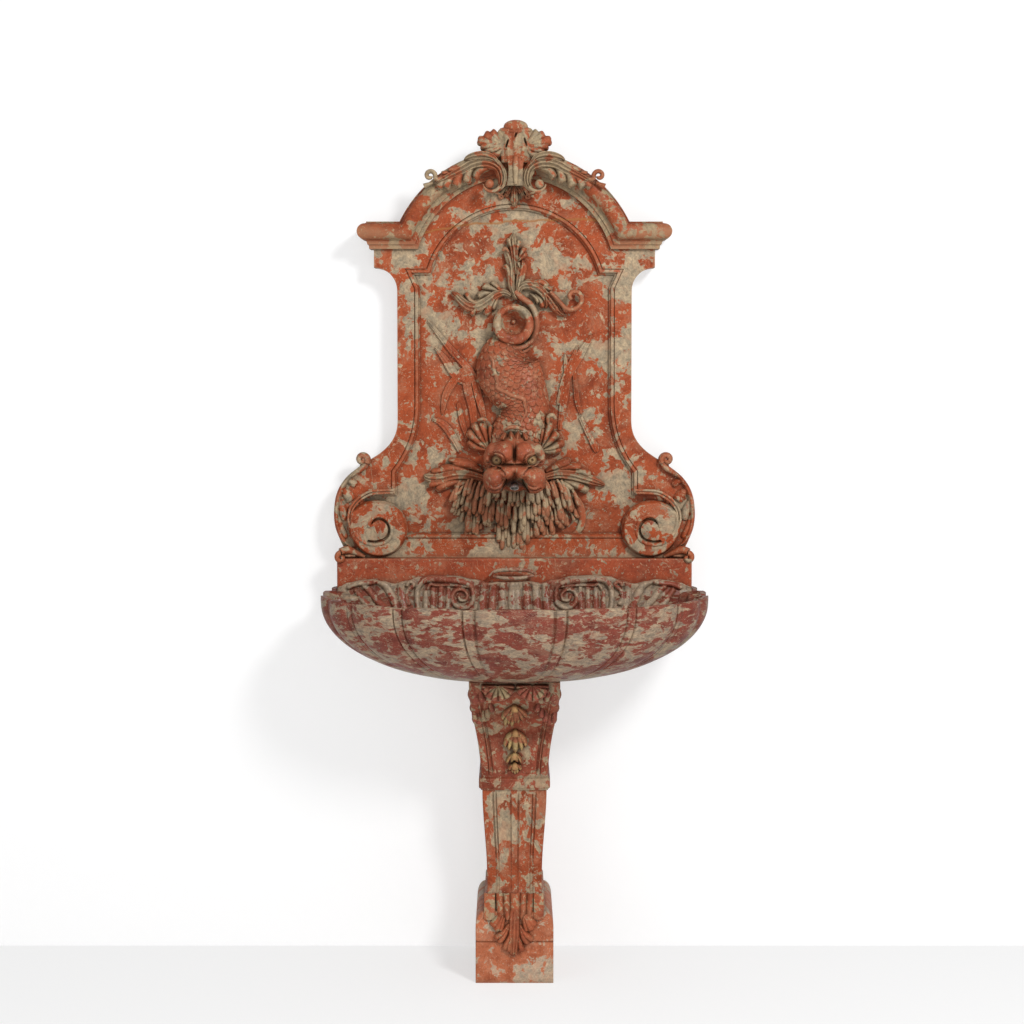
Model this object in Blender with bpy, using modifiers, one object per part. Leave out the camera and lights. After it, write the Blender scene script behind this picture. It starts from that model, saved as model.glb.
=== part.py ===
"""Rococo wall fountain in red breccia marble: arched back panel, shell basin and console foot.

Metres, +Z up. The wall is the plane y = +WALL_Y and the fountain faces -Y. A depth named p
is measured from the wall towards the front, so y = WALL_Y - p. The origin lies on the floor
under the middle of the basin.
"""

import math

import bmesh
import bpy
from mathutils import Matrix, Vector

# Driving sizes: gaps and walls
GAP = 0.0003
MITRE_GAP = 0.0006
LEAF_STAGGER = 0.0002

# Foot block
BASE_HALF_WIDTH = 0.090
BASE_DEPTH = 0.295
BASE_HEIGHT = 0.165
BASE_SHOULDER = 0.022
BASE_GROOVE_HEIGHT = 0.097
BASE_GROOVE_DEPTH = 0.0025

# Shaft, as height above the block, front depth and half width
SHAFT_HEIGHT = 0.265
SHAFT_FOOT_DEPTH = 0.272
SHAFT_WAIST_DEPTH = 0.178
SHAFT_TOP_DEPTH = 0.195
SHAFT_COLLAR_HALF_WIDTH = 0.070
SHAFT_WAIST_HALF_WIDTH = 0.064
SHAFT_TOP_HALF_WIDTH = 0.0755
FLUTE_RADIUS = 0.0035

# Console above the shaft
CONSOLE_HEIGHT = 0.270
CONSOLE_BAND_HEIGHT = 0.032
CONSOLE_BAND_PROUD = 0.005
CONSOLE_TOP_DEPTH = 0.335
CONSOLE_TOP_HALF_WIDTH = 0.104
CONSOLE_BORDER = 0.018
CONSOLE_RECESS = 0.005
CAPITAL_HALF_WIDTH = 0.078
CAPITAL_RADIUS = 0.021

# Basin
BASIN_HALF_WIDTH = 0.4515
BASIN_DEPTH = 0.500
BASIN_HEIGHT = 0.193
BASIN_WIDEST_DEPTH = 0.200
BASIN_BACK_NARROWING = 0.93
BASIN_LIP = 0.030
BASIN_FLOOR = 0.042
BASIN_LOBE_BULGE = 0.010
BASIN_BACK_LEDGE = 0.125
BASIN_SQUARENESS = 2.2
BASIN_FOOT_HALF_WIDTH = 0.110
BASIN_FOOT_FRONT = 0.350
BOWL_FLOOR_HALF_WIDTH = 0.170
BOWL_FLOOR_FRONT = 0.370
LEDGE_SCROLL_REACH = 0.185

# Drain and overflow
DRAIN_DEPTH = 0.215
FLANGE_RADIUS = 0.036
FLANGE_THICKNESS = 0.004
SPIGOT_RADIUS = 0.021
SPIGOT_WALL = 0.004
SPIGOT_DROP = 0.032
WASHER_THICKNESS = 0.003
LOCKNUT_HEIGHT = 0.012
LOCKNUT_RADIUS = 0.034
STANDPIPE_RADIUS = 0.0145
STANDPIPE_WALL = 0.0025
STANDPIPE_BELOW_RIM = 0.045
WASTE_BEND_RADIUS = 0.050
WASTE_STRAIGHT = 0.020
WASTE_WALL = 0.003
WELL_CLEARANCE = 0.008

# Plinth and panel
PLINTH_HALF_WIDTH = 0.423
PLINTH_HEIGHT = 0.071
PLINTH_DEPTH = 0.090
PANEL_THICKNESS = 0.062
PANEL_STEP = 0.006
PANEL_WAIST_HALF_WIDTH = 0.279
PANEL_SHOULDER_HALF_WIDTH = 0.334
PANEL_HEIGHT = 0.736
SHOULDER_RADIUS = 0.055
FLARE_REACH = 0.064
FLARE_HEIGHT = 0.230
FIELD_BORDER = 0.040
FIELD_ARCH_RADIUS = 0.220
FIELD_BOTTOM_LEDGE = 0.045

# Cornice
CORNICE_HEIGHT = 0.064
CORNICE_TORUS_RADIUS = 0.0195
CORNICE_PROJECTION = 0.038
CORNICE_REBATE = 0.032
ARCH_RADIUS = 0.239
ARCH_CENTRE_DROP = 0.0695
ARCH_STEPS = 18

# Side scrolls
VOLUTE_RADIUS = 0.0865
VOLUTE_CENTRE = 0.3455
VOLUTE_DEPTH = 0.086
VOLUTE_NECK_HEIGHT = 0.232
VOLUTE_CURL_RADIUS = 0.020
VOLUTE_FOOT_CURL_RADIUS = 0.012
VOLUTE_GROOVE_RADIUS = 0.004

# Dolphin and its leaves
HEAD_HALF_WIDTH = 0.0755
HEAD_REACH = 0.250
HEAD_ABOVE_PLINTH = 0.226
COIL_ABOVE_HEAD = 0.334
COIL_RADIUS = 0.048
COIL_DEPTH = 0.050
BODY_HALF_WIDTH = 0.079
BODY_SWAY = 0.023
BODY_DEPTH = 0.058
REED_DEPTH = 0.008
REED_HALF_WIDTH = 0.008
FROND_DEPTH = 0.024
FROND_REACH = 0.152
PLUME_LENGTH = 0.162
FIN_DEPTH = 0.030
WING_REACH = 0.218
WING_DEPTH = 0.022
BEARD_DEPTH = 0.034
BEARD_HALF_WIDTH = 0.134

# Crest
CREST_RISE = 0.066
CREST_DEPTH = 0.034
CREST_ARM_REACH = 0.1975
CREST_CURL_RADIUS = 0.013
CREST_CAP_RADIUS = 0.030
DROP_LENGTH = 0.062
DROP_DEPTH = 0.022
DROP_SCROLL_REACH = 0.052
DROP_CURL_RADIUS = 0.0115

# Water supply
SPOUT_RADIUS = 0.009
SPOUT_WALL = 0.0015
SPOUT_BELOW_HEAD = 0.048
SPOUT_SETBACK = 0.010
SUPPLY_LENGTH = 0.030
UNION_LENGTH = 0.026
UNION_WALL = 0.005

# Dowels and cramps
DOWEL_RADIUS = 0.008
DOWEL_HALF_LENGTH = 0.045
CRAMP_LENGTH = 0.110
CRAMP_WIDTH = 0.024
CRAMP_THICKNESS = 0.004

# Levels and depths that follow from them
WALL_Y = BASIN_DEPTH / 2
SHAFT_BOTTOM = BASE_HEIGHT + GAP
SHAFT_TOP = BASE_HEIGHT + SHAFT_HEIGHT
CONSOLE_BOTTOM = SHAFT_TOP + GAP
CONSOLE_TOP = SHAFT_TOP + CONSOLE_HEIGHT
BASIN_BOTTOM = CONSOLE_TOP + GAP
RIM = CONSOLE_TOP + BASIN_HEIGHT
BOWL_FLOOR = CONSOLE_TOP + BASIN_FLOOR
PLINTH_BOTTOM = RIM + GAP
PLINTH_TOP = RIM + PLINTH_HEIGHT
PANEL_BOTTOM = PLINTH_TOP + GAP
CORNICE_BOTTOM = PLINTH_TOP + PANEL_HEIGHT
FIELD_DEPTH = PANEL_THICKNESS - 2 * PANEL_STEP
SEAT_DEPTH = FIELD_DEPTH + GAP
FIELD_HALF_WIDTH = PANEL_WAIST_HALF_WIDTH - FIELD_BORDER
ARCH_CENTRE = CORNICE_BOTTOM - ARCH_CENTRE_DROP
ARCH_TOP = ARCH_CENTRE + ARCH_RADIUS + CORNICE_HEIGHT
CORNICE_FRONT = PANEL_THICKNESS + GAP + CORNICE_PROJECTION
HEAD_HEIGHT = PLINTH_TOP + HEAD_ABOVE_PLINTH
COIL_HEIGHT = HEAD_HEIGHT + COIL_ABOVE_HEAD
SPOUT_HEIGHT = HEAD_HEIGHT - SPOUT_BELOW_HEAD


# Scene and helpers
for old in list(bpy.data.objects):
    bpy.data.objects.remove(old, do_unlink=True)

fountain = bpy.data.collections.new("marble_fountain")
cutters = bpy.data.collections.new("cutters")
bpy.context.scene.collection.children.link(fountain)
bpy.context.scene.collection.children.link(cutters)


def principled(name, colour, roughness, metallic=0.0):
    material = bpy.data.materials.new(name)
    material.use_nodes = True
    shader = material.node_tree.nodes["Principled BSDF"]
    shader.inputs["Base Color"].default_value = (*colour, 1.0)
    shader.inputs["Roughness"].default_value = roughness
    shader.inputs["Metallic"].default_value = metallic
    material.diffuse_color = (*colour, 1.0)
    return material


RED_MARBLE = principled("red_breccia_marble", (0.40, 0.10, 0.055), 0.45)
DEEP_MARBLE = principled("deep_red_marble", (0.29, 0.075, 0.06), 0.30)
WORN_MARBLE = principled("worn_carved_marble", (0.36, 0.16, 0.085), 0.55)
STEEL = principled("stainless_steel", (0.56, 0.57, 0.58), 0.35, 1.0)
BRASS = principled("aged_brass", (0.48, 0.36, 0.16), 0.40, 1.0)
LEAD_PIPE = principled("grey_metal_pipe", (0.30, 0.31, 0.32), 0.50, 1.0)
RUBBER = principled("black_rubber", (0.02, 0.02, 0.02), 0.80)


def place(x, depth, z):
    """The point at x, a depth in front of the wall, and a height."""
    return Vector((x, WALL_Y - depth, z))


def settle(obj, material):
    """Files a finished sub-part in the fountain's collection with its material."""
    fountain.objects.link(obj)
    obj.data.materials.clear()
    obj.data.materials.append(material)
    return obj


def hide_as_cutter(obj):
    cutters.objects.link(obj)
    obj.hide_render = True
    obj.display_type = "WIRE"
    return obj


def mesh_object(name, bm, smooth_angle=None):
    mesh = bpy.data.meshes.new(name)
    bmesh.ops.recalc_face_normals(bm, faces=bm.faces)
    bm.to_mesh(mesh)
    bm.free()
    if smooth_angle is not None:
        mesh.shade_smooth()
        mesh.set_sharp_from_angle(angle=math.radians(smooth_angle))
    return bpy.data.objects.new(name, mesh)


def boolean(target, operation, tool):
    modifier = target.modifiers.new(f"{operation.lower()} {tool.name}", "BOOLEAN")
    modifier.operation = operation
    modifier.solver = "EXACT"
    modifier.object = tool
    return modifier


def cut(target, *tools):
    for tool in tools:
        boolean(target, "DIFFERENCE", tool)


def fuse(target, tool):
    """Joins a group of overlapping shells to the target as one body."""
    boolean(target, "UNION", tool).use_self = True


def curve_to_mesh(curve_object, name):
    depsgraph = bpy.context.evaluated_depsgraph_get()
    mesh = bpy.data.meshes.new_from_object(curve_object.evaluated_get(depsgraph))
    bm = bmesh.new()
    bm.from_mesh(mesh)
    bm.transform(curve_object.matrix_basis)
    bmesh.ops.remove_doubles(bm, verts=bm.verts, dist=0.00002)
    bmesh.ops.recalc_face_normals(bm, faces=bm.faces)
    bm.to_mesh(mesh)
    bm.free()
    curve = curve_object.data
    bpy.data.objects.remove(curve_object, do_unlink=True)
    bpy.data.curves.remove(curve)
    return bpy.data.objects.new(name, mesh)


def outline_prism(name, outline, back, front):
    """A flat outline of (x, z) points, solid from one depth to another."""
    curve = bpy.data.curves.new(name, "CURVE")
    curve.dimensions = "2D"
    curve.fill_mode = "BOTH"
    curve.extrude = (front - back) / 2
    spline = curve.splines.new("POLY")
    spline.points.add(len(outline) - 1)
    for point, (x, z) in zip(spline.points, outline):
        point.co = (x, z, 0.0, 1.0)
    spline.use_cyclic_u = True
    holder = bpy.data.objects.new(name, curve)
    holder.rotation_euler = (math.pi / 2, 0.0, 0.0)
    holder.location = place(0.0, (front + back) / 2, 0.0)
    bpy.context.scene.collection.objects.link(holder)
    bpy.context.view_layer.update()
    return curve_to_mesh(holder, name)


def tube(name, points, radius, resolution=3, capped=True):
    """A round tube along a list of points, as a mesh."""
    curve = bpy.data.curves.new(name, "CURVE")
    curve.dimensions = "3D"
    curve.bevel_depth = radius
    curve.bevel_resolution = resolution
    curve.use_fill_caps = capped
    spline = curve.splines.new("POLY")
    spline.points.add(len(points) - 1)
    for point, where in zip(spline.points, points):
        point.co = (*where, 1.0)
    holder = bpy.data.objects.new(name, curve)
    bpy.context.scene.collection.objects.link(holder)
    bpy.context.view_layer.update()
    return curve_to_mesh(holder, name)


def pipe(name, points, radius, wall, resolution=2):
    """An open pipe: a tube surface with its wall set inwards by Solidify."""
    obj = tube(name, points, radius, resolution, capped=False)
    shell = obj.modifiers.new("wall", "SOLIDIFY")
    shell.thickness = wall
    shell.offset = -1.0
    shell.use_even_offset = True
    return obj


def turned(name, profile, centre, axis="Z", steps=20, closed=False):
    """A profile of (radius, height) points turned about an upright or a forward axis."""
    mesh = bpy.data.meshes.new(name)
    edges = [(i, i + 1) for i in range(len(profile) - 1)]
    if closed:
        edges.append((len(profile) - 1, 0))
    mesh.from_pydata([(r, 0.0, h) for r, h in profile], edges, [])
    obj = bpy.data.objects.new(name, mesh)
    obj.location = centre
    if axis == "FRONT":
        obj.rotation_euler = (math.pi / 2, 0.0, 0.0)
    screw = obj.modifiers.new("turn", "SCREW")
    screw.steps = steps
    screw.render_steps = steps
    screw.use_merge_vertices = True
    screw.merge_threshold = 0.00001
    screw.use_smooth_shade = True
    return obj


def cylinder_between(name, start, end, radius, sides=24):
    bm = bmesh.new()
    length = (end - start).length
    bmesh.ops.create_cone(
        bm, cap_ends=True, segments=sides, radius1=radius, radius2=radius, depth=length
    )
    turn = Vector((0.0, 0.0, 1.0)).rotation_difference(end - start)
    bmesh.ops.rotate(bm, verts=bm.verts, matrix=turn.to_matrix())
    bmesh.ops.translate(bm, verts=bm.verts, vec=(start + end) / 2)
    return mesh_object(name, bm)


def block(name, x_range, depth_range, z_range):
    bm = bmesh.new()
    bmesh.ops.create_cube(bm, size=1.0)
    size = Vector((x_range[1] - x_range[0], depth_range[1] - depth_range[0], z_range[1] - z_range[0]))
    bmesh.ops.scale(bm, verts=bm.verts, vec=size)
    middle = place(sum(x_range) / 2, sum(depth_range) / 2, sum(z_range) / 2)
    bmesh.ops.translate(bm, verts=bm.verts, vec=middle)
    return mesh_object(name, bm)


def add_loft(bm, rings):
    """Skins a list of rings of equal count and closes both ends."""
    rows = [[bm.verts.new(point) for point in ring] for ring in rings]
    count = len(rows[0])
    for low, high in zip(rows, rows[1:]):
        for i in range(count):
            j = (i + 1) % count
            bm.faces.new((low[i], low[j], high[j], high[i]))
    bm.faces.new(list(reversed(rows[0])))
    bm.faces.new(rows[-1])


def loft(name, rings, smooth_angle=35):
    bm = bmesh.new()
    add_loft(bm, rings)
    bmesh.ops.remove_doubles(bm, verts=bm.verts, dist=0.000005)
    return mesh_object(name, bm, smooth_angle)


def between(table, value):
    """Reads a smooth value from a table of (position, value) rows."""
    if value <= table[0][0]:
        return table[0][1]
    for (a, first), (b, second) in zip(table, table[1:]):
        if value <= b:
            share = (value - a) / (b - a)
            share = share * share * (3 - 2 * share)
            return first + (second - first) * share
    return table[-1][1]


def arc(centre_x, centre_z, radius, start, end, count):
    """Points of an arc, its angles in degrees, anticlockwise from +X when end > start."""
    angles = [math.radians(start + (end - start) * i / count) for i in range(count + 1)]
    return [(centre_x + radius * math.cos(a), centre_z + radius * math.sin(a)) for a in angles]


def smooth_path(controls, count):
    """Points of a Catmull-Rom curve through the control points, with their tangents."""
    padded = [2 * Vector(controls[0]) - Vector(controls[1])]
    padded += [Vector(c) for c in controls]
    padded.append(2 * Vector(controls[-1]) - Vector(controls[-2]))
    spans = len(controls) - 1
    samples = []
    for i in range(count + 1):
        along = spans * i / count
        k = min(int(along), spans - 1)
        t = along - k
        a, b, c, d = padded[k : k + 4]
        point = 0.5 * (2 * b + (c - a) * t + (2 * a - 5 * b + 4 * c - d) * t**2)
        point += 0.5 * (3 * b - a - 3 * c + d) * t**3
        slope = 0.5 * (c - a) + (2 * a - 5 * b + 4 * c - d) * t
        slope += 1.5 * (3 * b - a - 3 * c + d) * t**2
        samples.append((point, slope.normalized()))
    return samples


def scallop(along, lobes, depth):
    """The outline of a lobed leaf: each lobe swells and then breaks off towards the tip."""
    if lobes == 0:
        return 1.0
    share = (along * lobes) % 1.0
    return 1.0 - depth + depth * math.sin(math.pi * min(1.0, share * 1.25 + 0.1)) ** 0.7


def add_leaf(bm, controls, widths, height, seat, lobes=0, lobe_depth=0.3, count=12, lift=0.0):
    """A carved leaf along a path of (x, z) points, flat behind, crowned in front.

    seat gives the depth of the face that it lies on, at a point of the path, and lift
    keeps the backs of crossing leaves from coinciding.
    """
    section = ((-1.0, 0.0), (-0.75, 0.7), (0.0, 1.0), (0.75, 0.7), (1.0, 0.0))
    rings = []
    table = [(i / (len(widths) - 1), width) for i, width in enumerate(widths)]
    for i, (point, slope) in enumerate(smooth_path(controls, count)):
        along = i / count
        half = between(table, along) * scallop(along, lobes, lobe_depth)
        rise = height * min(1.0, 0.35 + 2.2 * min(along, 1 - along) + half / 0.03)
        side = Vector((slope[1], -slope[0]))
        ring = []
        for across, crown in section:
            spot = point + side * half * across
            depth = seat(spot[0], spot[1]) + lift + rise * crown
            ring.append(place(spot[0], depth, spot[1]))
        rings.append(ring)
    add_loft(bm, rings)


def add_curl(bm, x, z, radius, height, depth):
    """The rolled end of a scroll: a short round boss that faces forward."""
    made = bmesh.ops.create_cone(
        bm, cap_ends=True, segments=16, radius1=radius, radius2=0.8 * radius, depth=height
    )
    turn = Matrix.Rotation(math.pi / 2, 3, "X")
    bmesh.ops.rotate(bm, verts=made["verts"], matrix=turn)
    middle = depth + LEAF_STAGGER / 2 + height / 2
    bmesh.ops.translate(bm, verts=made["verts"], vec=place(x, middle, z))


def leaf_group(name, leaves, material, curls=()):
    """One carved piece from leaves and curls that overlap at their roots."""
    first = bmesh.new()
    add_leaf(first, **leaves[0])
    obj = mesh_object(name, first, 40)
    if len(leaves) > 1 or curls:
        rest = bmesh.new()
        for i, leaf in enumerate(leaves[1:]):
            add_leaf(rest, lift=LEAF_STAGGER * (i + 1), **leaf)
        for curl in curls:
            add_curl(rest, *curl)
        fuse(obj, hide_as_cutter(mesh_object(f"{name}_more", rest)))
    return settle(obj, material)


def on_panel(x, z):
    return SEAT_DEPTH


def laid_out(points, width, level, height):
    """Turns points given as shares of a width and of a height above a level into metres."""
    return [(width * x, level + height * z) for x, z in points]


def mirrored(leaves, side):
    return [dict(leaf, controls=[(side * x, z) for x, z in leaf["controls"]]) for leaf in leaves]


def dowel_with_sockets(name, start, end, *stones):
    """A steel dowel, and its socket in each stone that it holds together."""
    settle(cylinder_between(name, start, end, DOWEL_RADIUS, 10), STEEL)
    reach = (end - start).normalized() * GAP
    socket = cylinder_between(f"{name}_socket", start - reach, end + reach, DOWEL_RADIUS + 1.1 * GAP, 10)
    hide_as_cutter(socket)
    for stone in stones:
        cut(stone, socket)


# Foot block: a rounded square block with an incised line
def rounded_rectangle(half_width, back, front, radius, z, corner_steps=4):
    corners = (
        (half_width - radius, front - radius, 0),
        (-half_width + radius, front - radius, 90),
        (-half_width + radius, back + radius, 180),
        (half_width - radius, back + radius, 270),
    )
    ring = []
    for cx, cp, turn in corners:
        for i in range(corner_steps + 1):
            angle = math.radians(turn + 90 * i / corner_steps)
            ring.append(place(cx + radius * math.cos(angle), cp + radius * math.sin(angle), z))
    return ring


def base_ring(z, inset):
    return rounded_rectangle(
        BASE_HALF_WIDTH - inset, inset * 0.2, BASE_DEPTH - inset, 0.004, z, corner_steps=1
    )


def base_rings():
    lip = 0.003
    rings = [base_ring(0.0, 0.0)]
    for offset, inset in ((-lip, 0.0), (0.0, BASE_GROOVE_DEPTH), (lip, 0.0)):
        rings.append(base_ring(BASE_GROOVE_HEIGHT + offset, inset))
    for i in range(6):
        angle = math.pi / 2 * i / 5
        z = BASE_HEIGHT - BASE_SHOULDER + BASE_SHOULDER * math.sin(angle)
        rings.append(base_ring(z, BASE_SHOULDER * (1 - math.cos(angle)) * 0.7))
    return rings


base_block = settle(loft("base_block", base_rings(), 30), RED_MARBLE)


# Shaft: a tapering fluted shaft that kicks forward into a scrolled foot
SHAFT_FRONT = [
    (SHAFT_BOTTOM, SHAFT_FOOT_DEPTH),
    (SHAFT_BOTTOM + 0.10 * SHAFT_HEIGHT, SHAFT_FOOT_DEPTH * 0.93),
    (SHAFT_BOTTOM + 0.42 * SHAFT_HEIGHT, SHAFT_WAIST_DEPTH),
    (SHAFT_BOTTOM + 0.60 * SHAFT_HEIGHT, SHAFT_WAIST_DEPTH),
    (SHAFT_TOP, SHAFT_TOP_DEPTH),
]
SHAFT_SIDE = [
    (SHAFT_BOTTOM, SHAFT_COLLAR_HALF_WIDTH),
    (SHAFT_BOTTOM + 0.08 * SHAFT_HEIGHT, SHAFT_COLLAR_HALF_WIDTH),
    (SHAFT_BOTTOM + 0.16 * SHAFT_HEIGHT, SHAFT_WAIST_HALF_WIDTH),
    (SHAFT_TOP, SHAFT_TOP_HALF_WIDTH),
]


def shaft_front(z):
    return between(SHAFT_FRONT, z)


def stations(low, high, count):
    return [low + (high - low) * i / count for i in range(count + 1)]


def shaft_ring(z, grow=0.0):
    return rounded_rectangle(
        between(SHAFT_SIDE, z) + grow, -grow, shaft_front(z) + grow, 0.006, z, corner_steps=1
    )


shaft_levels = stations(SHAFT_BOTTOM, SHAFT_TOP, 12)
pedestal_shaft = settle(loft("pedestal_shaft", [shaft_ring(z) for z in shaft_levels], 30), RED_MARBLE)

flute_low = SHAFT_BOTTOM + 0.24 * SHAFT_HEIGHT
flute_high = SHAFT_BOTTOM + 0.93 * SHAFT_HEIGHT
for i, share in enumerate((-0.68, -0.14, 0.14, 0.68)):
    flute_points = [
        place(share * between(SHAFT_SIDE, z), shaft_front(z) + FLUTE_RADIUS * 0.2, z)
        for z in stations(flute_low, flute_high, 7)
    ]
    cut(pedestal_shaft, hide_as_cutter(tube(f"shaft_flute_{i}", flute_points, FLUTE_RADIUS, 0)))


# Console: widens forward under the basin, framed in front and chased behind for the waste
CONSOLE_START = CONSOLE_BOTTOM + CONSOLE_BAND_HEIGHT
CONSOLE_RISE = CONSOLE_TOP - CONSOLE_START
CONSOLE_FRONT = [
    (CONSOLE_START, SHAFT_TOP_DEPTH + 0.004),
    (CONSOLE_START + 0.30 * CONSOLE_RISE, SHAFT_TOP_DEPTH + 0.018),
    (CONSOLE_TOP, CONSOLE_TOP_DEPTH),
]
CONSOLE_SIDE = [
    (CONSOLE_START, SHAFT_TOP_HALF_WIDTH + 0.003),
    (CONSOLE_TOP, CONSOLE_TOP_HALF_WIDTH),
]


def console_front(z):
    return between(CONSOLE_FRONT, z)


def console_side(z):
    return between(CONSOLE_SIDE, z)


def console_ring(z, grow=0.0):
    return rounded_rectangle(
        console_side(z) + grow, -grow, console_front(z) + grow, 0.006, z, corner_steps=1
    )


def band_ring(z, proud):
    return rounded_rectangle(
        SHAFT_TOP_HALF_WIDTH + 0.003 + proud, 0.0, SHAFT_TOP_DEPTH + 0.004 + proud, 0.006, z, 1
    )


console_rings = [
    band_ring(CONSOLE_BOTTOM, 0.0),
    band_ring(CONSOLE_BOTTOM + 0.15 * CONSOLE_BAND_HEIGHT, CONSOLE_BAND_PROUD),
    band_ring(CONSOLE_BOTTOM + 0.85 * CONSOLE_BAND_HEIGHT, CONSOLE_BAND_PROUD),
]
console_levels = stations(CONSOLE_START, CONSOLE_TOP, 12)
console_rings += [console_ring(z) for z in console_levels]
pedestal_console = settle(loft("pedestal_console", console_rings, 30), RED_MARBLE)

RECESS_BOTTOM = CONSOLE_START + 0.06 * CONSOLE_RISE
RECESS_TOP = CONSOLE_START + 0.80 * CONSOLE_RISE


def recess_slice(name, nearest, furthest):
    """A slice of the console's front, its depths counted from the front face."""
    rings = []
    for z in stations(RECESS_BOTTOM, RECESS_TOP, 9):
        half = console_side(z) - CONSOLE_BORDER
        near, far = console_front(z) + nearest, console_front(z) + furthest
        rings.append([place(-half, near, z), place(half, near, z), place(half, far, z), place(-half, far, z)])
    return hide_as_cutter(loft(name, rings, None))


cut(pedestal_console, recess_slice("console_recess", -CONSOLE_RECESS, 0.05))

WELL_RADIUS = max(LOCKNUT_RADIUS, FLANGE_RADIUS) + WELL_CLEARANCE
SPIGOT_END = BASIN_BOTTOM - SPIGOT_DROP
bend_depth = DRAIN_DEPTH - WASTE_BEND_RADIUS
bend_level = SPIGOT_END - WASTE_STRAIGHT
WASTE_LEVEL = bend_level - WASTE_BEND_RADIUS
CHASE_FLOOR = WASTE_LEVEL - SPIGOT_RADIUS - WELL_CLEARANCE
chase_half = SPIGOT_RADIUS + 2 * WELL_CLEARANCE
cut(
    pedestal_console,
    hide_as_cutter(
        block(
            "console_chase",
            (-chase_half, chase_half),
            (-0.02, bend_depth),
            (CHASE_FLOOR, CONSOLE_TOP + 0.01),
        )
    ),
    hide_as_cutter(
        cylinder_between(
            "console_well",
            place(0.0, DRAIN_DEPTH, SPIGOT_END - 0.012),
            place(0.0, DRAIN_DEPTH, CONSOLE_TOP + 0.01),
            WELL_RADIUS,
            16,
        )
    ),
)
bend_points = [place(0.0, DRAIN_DEPTH, CONSOLE_TOP)]
bend_points += [
    place(0.0, bend_depth + WASTE_BEND_RADIUS * math.cos(a), bend_level - WASTE_BEND_RADIUS * math.sin(a))
    for a in stations(0.0, math.pi / 2, 6)
]
bend_points.append(place(0.0, bend_depth - WASTE_BEND_RADIUS, WASTE_LEVEL))
cut(
    pedestal_console,
    hide_as_cutter(tube("console_bend", bend_points, SPIGOT_RADIUS + WELL_CLEARANCE, 1)),
)


# Capital: a gadrooned roll in two lobes under the front of the basin
def capital_rings():
    rings = []
    height = CONSOLE_TOP - CAPITAL_RADIUS - GAP
    for i, share in enumerate(stations(-1.0, 1.0, 20)):
        lobe = abs(math.sin(2 * math.pi * abs(share) ** 0.8)) ** 0.5
        gadroon = 0.92 + 0.08 * (i % 2)
        radius = CAPITAL_RADIUS * max(0.25, (0.55 + 0.45 * lobe) * gadroon * (1 - 0.35 * share**8))
        x = CAPITAL_HALF_WIDTH * share
        depth = console_front(height) + CAPITAL_RADIUS * 0.35
        ring = []
        for k in range(8):
            angle = 2 * math.pi * k / 8
            ring.append(place(x, depth + radius * math.cos(angle), height + radius * math.sin(angle)))
        rings.append(ring)
    return rings


console_capital = settle(loft("console_capital", capital_rings(), 40), WORN_MARBLE)
grown_console = [console_ring(z, GAP) for z in console_levels]
grown_console.append([point + Vector((0.0, 0.0, 0.01)) for point in grown_console[-1]])
console_room = hide_as_cutter(loft("console_room", grown_console, None))
cut(console_capital, console_room)


def on_console(x, z):
    return console_front(z) - 0.002


LEAF_TOP = CONSOLE_TOP - 2 * CAPITAL_RADIUS - 2 * MITRE_GAP
leaf_x = CONSOLE_TOP_HALF_WIDTH - 0.026
corner_leaf = [
    dict(
        controls=[(leaf_x, LEAF_TOP), (leaf_x + 0.002, LEAF_TOP - 0.025), (leaf_x - 0.006, LEAF_TOP - 0.075)],
        widths=(0.016, 0.022, 0.016, 0.004),
        height=0.014,
        seat=on_console,
        lobes=4,
        count=16,
    )
]
for side, word in ((-1, "left"), (1, "right")):
    cut(leaf_group(f"console_leaf_{word}", mirrored(corner_leaf, side), WORN_MARBLE), console_room)


def in_console_recess(x, z):
    return console_front(z) - CONSOLE_RECESS - 0.002


drop_top = RECESS_TOP - 0.003
drop_length = RECESS_TOP - RECESS_BOTTOM - 0.008
bellflower_drop = leaf_group(
    "bellflower_drop",
    [
        dict(
            controls=[(0.0, drop_top), (0.0, drop_top - drop_length / 2), (0.0, drop_top - drop_length)],
            widths=(0.006, 0.020, 0.029, 0.008, 0.018, 0.025, 0.006, 0.012, 0.004, 0.011, 0.002),
            height=0.013,
            seat=in_console_recess,
            count=20,
        )
    ],
    WORN_MARBLE,
)
cut(bellflower_drop, recess_slice("recess_bed", -0.05, GAP - CONSOLE_RECESS))


# Acanthus on the foot: it lies on the scrolled foot and hangs over the block
def on_foot(x, z):
    if z > BASE_HEIGHT + 0.004:
        return shaft_front(z) - 0.002
    return max(BASE_DEPTH, shaft_front(BASE_HEIGHT)) + GAP


foot_top = BASE_HEIGHT + 0.034
foot_leaf = [
    dict(
        controls=[(0.0, foot_top), (0.0, BASE_HEIGHT), (0.0, BASE_HEIGHT - 0.098)],
        widths=(0.020, 0.040, 0.050, 0.042, 0.026, 0.004),
        height=0.013,
        seat=on_foot,
        lobes=5,
        lobe_depth=0.35,
        count=20,
    )
]
shaft_room = loft("shaft_room", [shaft_ring(z, GAP) for z in shaft_levels], None)
cut(leaf_group("foot_acanthus", foot_leaf, WORN_MARBLE), hide_as_cutter(shaft_room))


# Basin: a shell bowl with nine front lobes and narrow ribs, flat against the wall
RIB_ANGLES = (-90.0, -70.6, -55.0, -35.0, -13.5, 13.5, 35.0, 55.0, 70.6, 90.0)
LOBE_SHAPE = ((0.0, 0.10), (0.11, -0.55), (0.29, 0.75), (0.5, 1.0), (0.71, 0.75), (0.89, -0.55))
BACK_LOBES = 2


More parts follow.
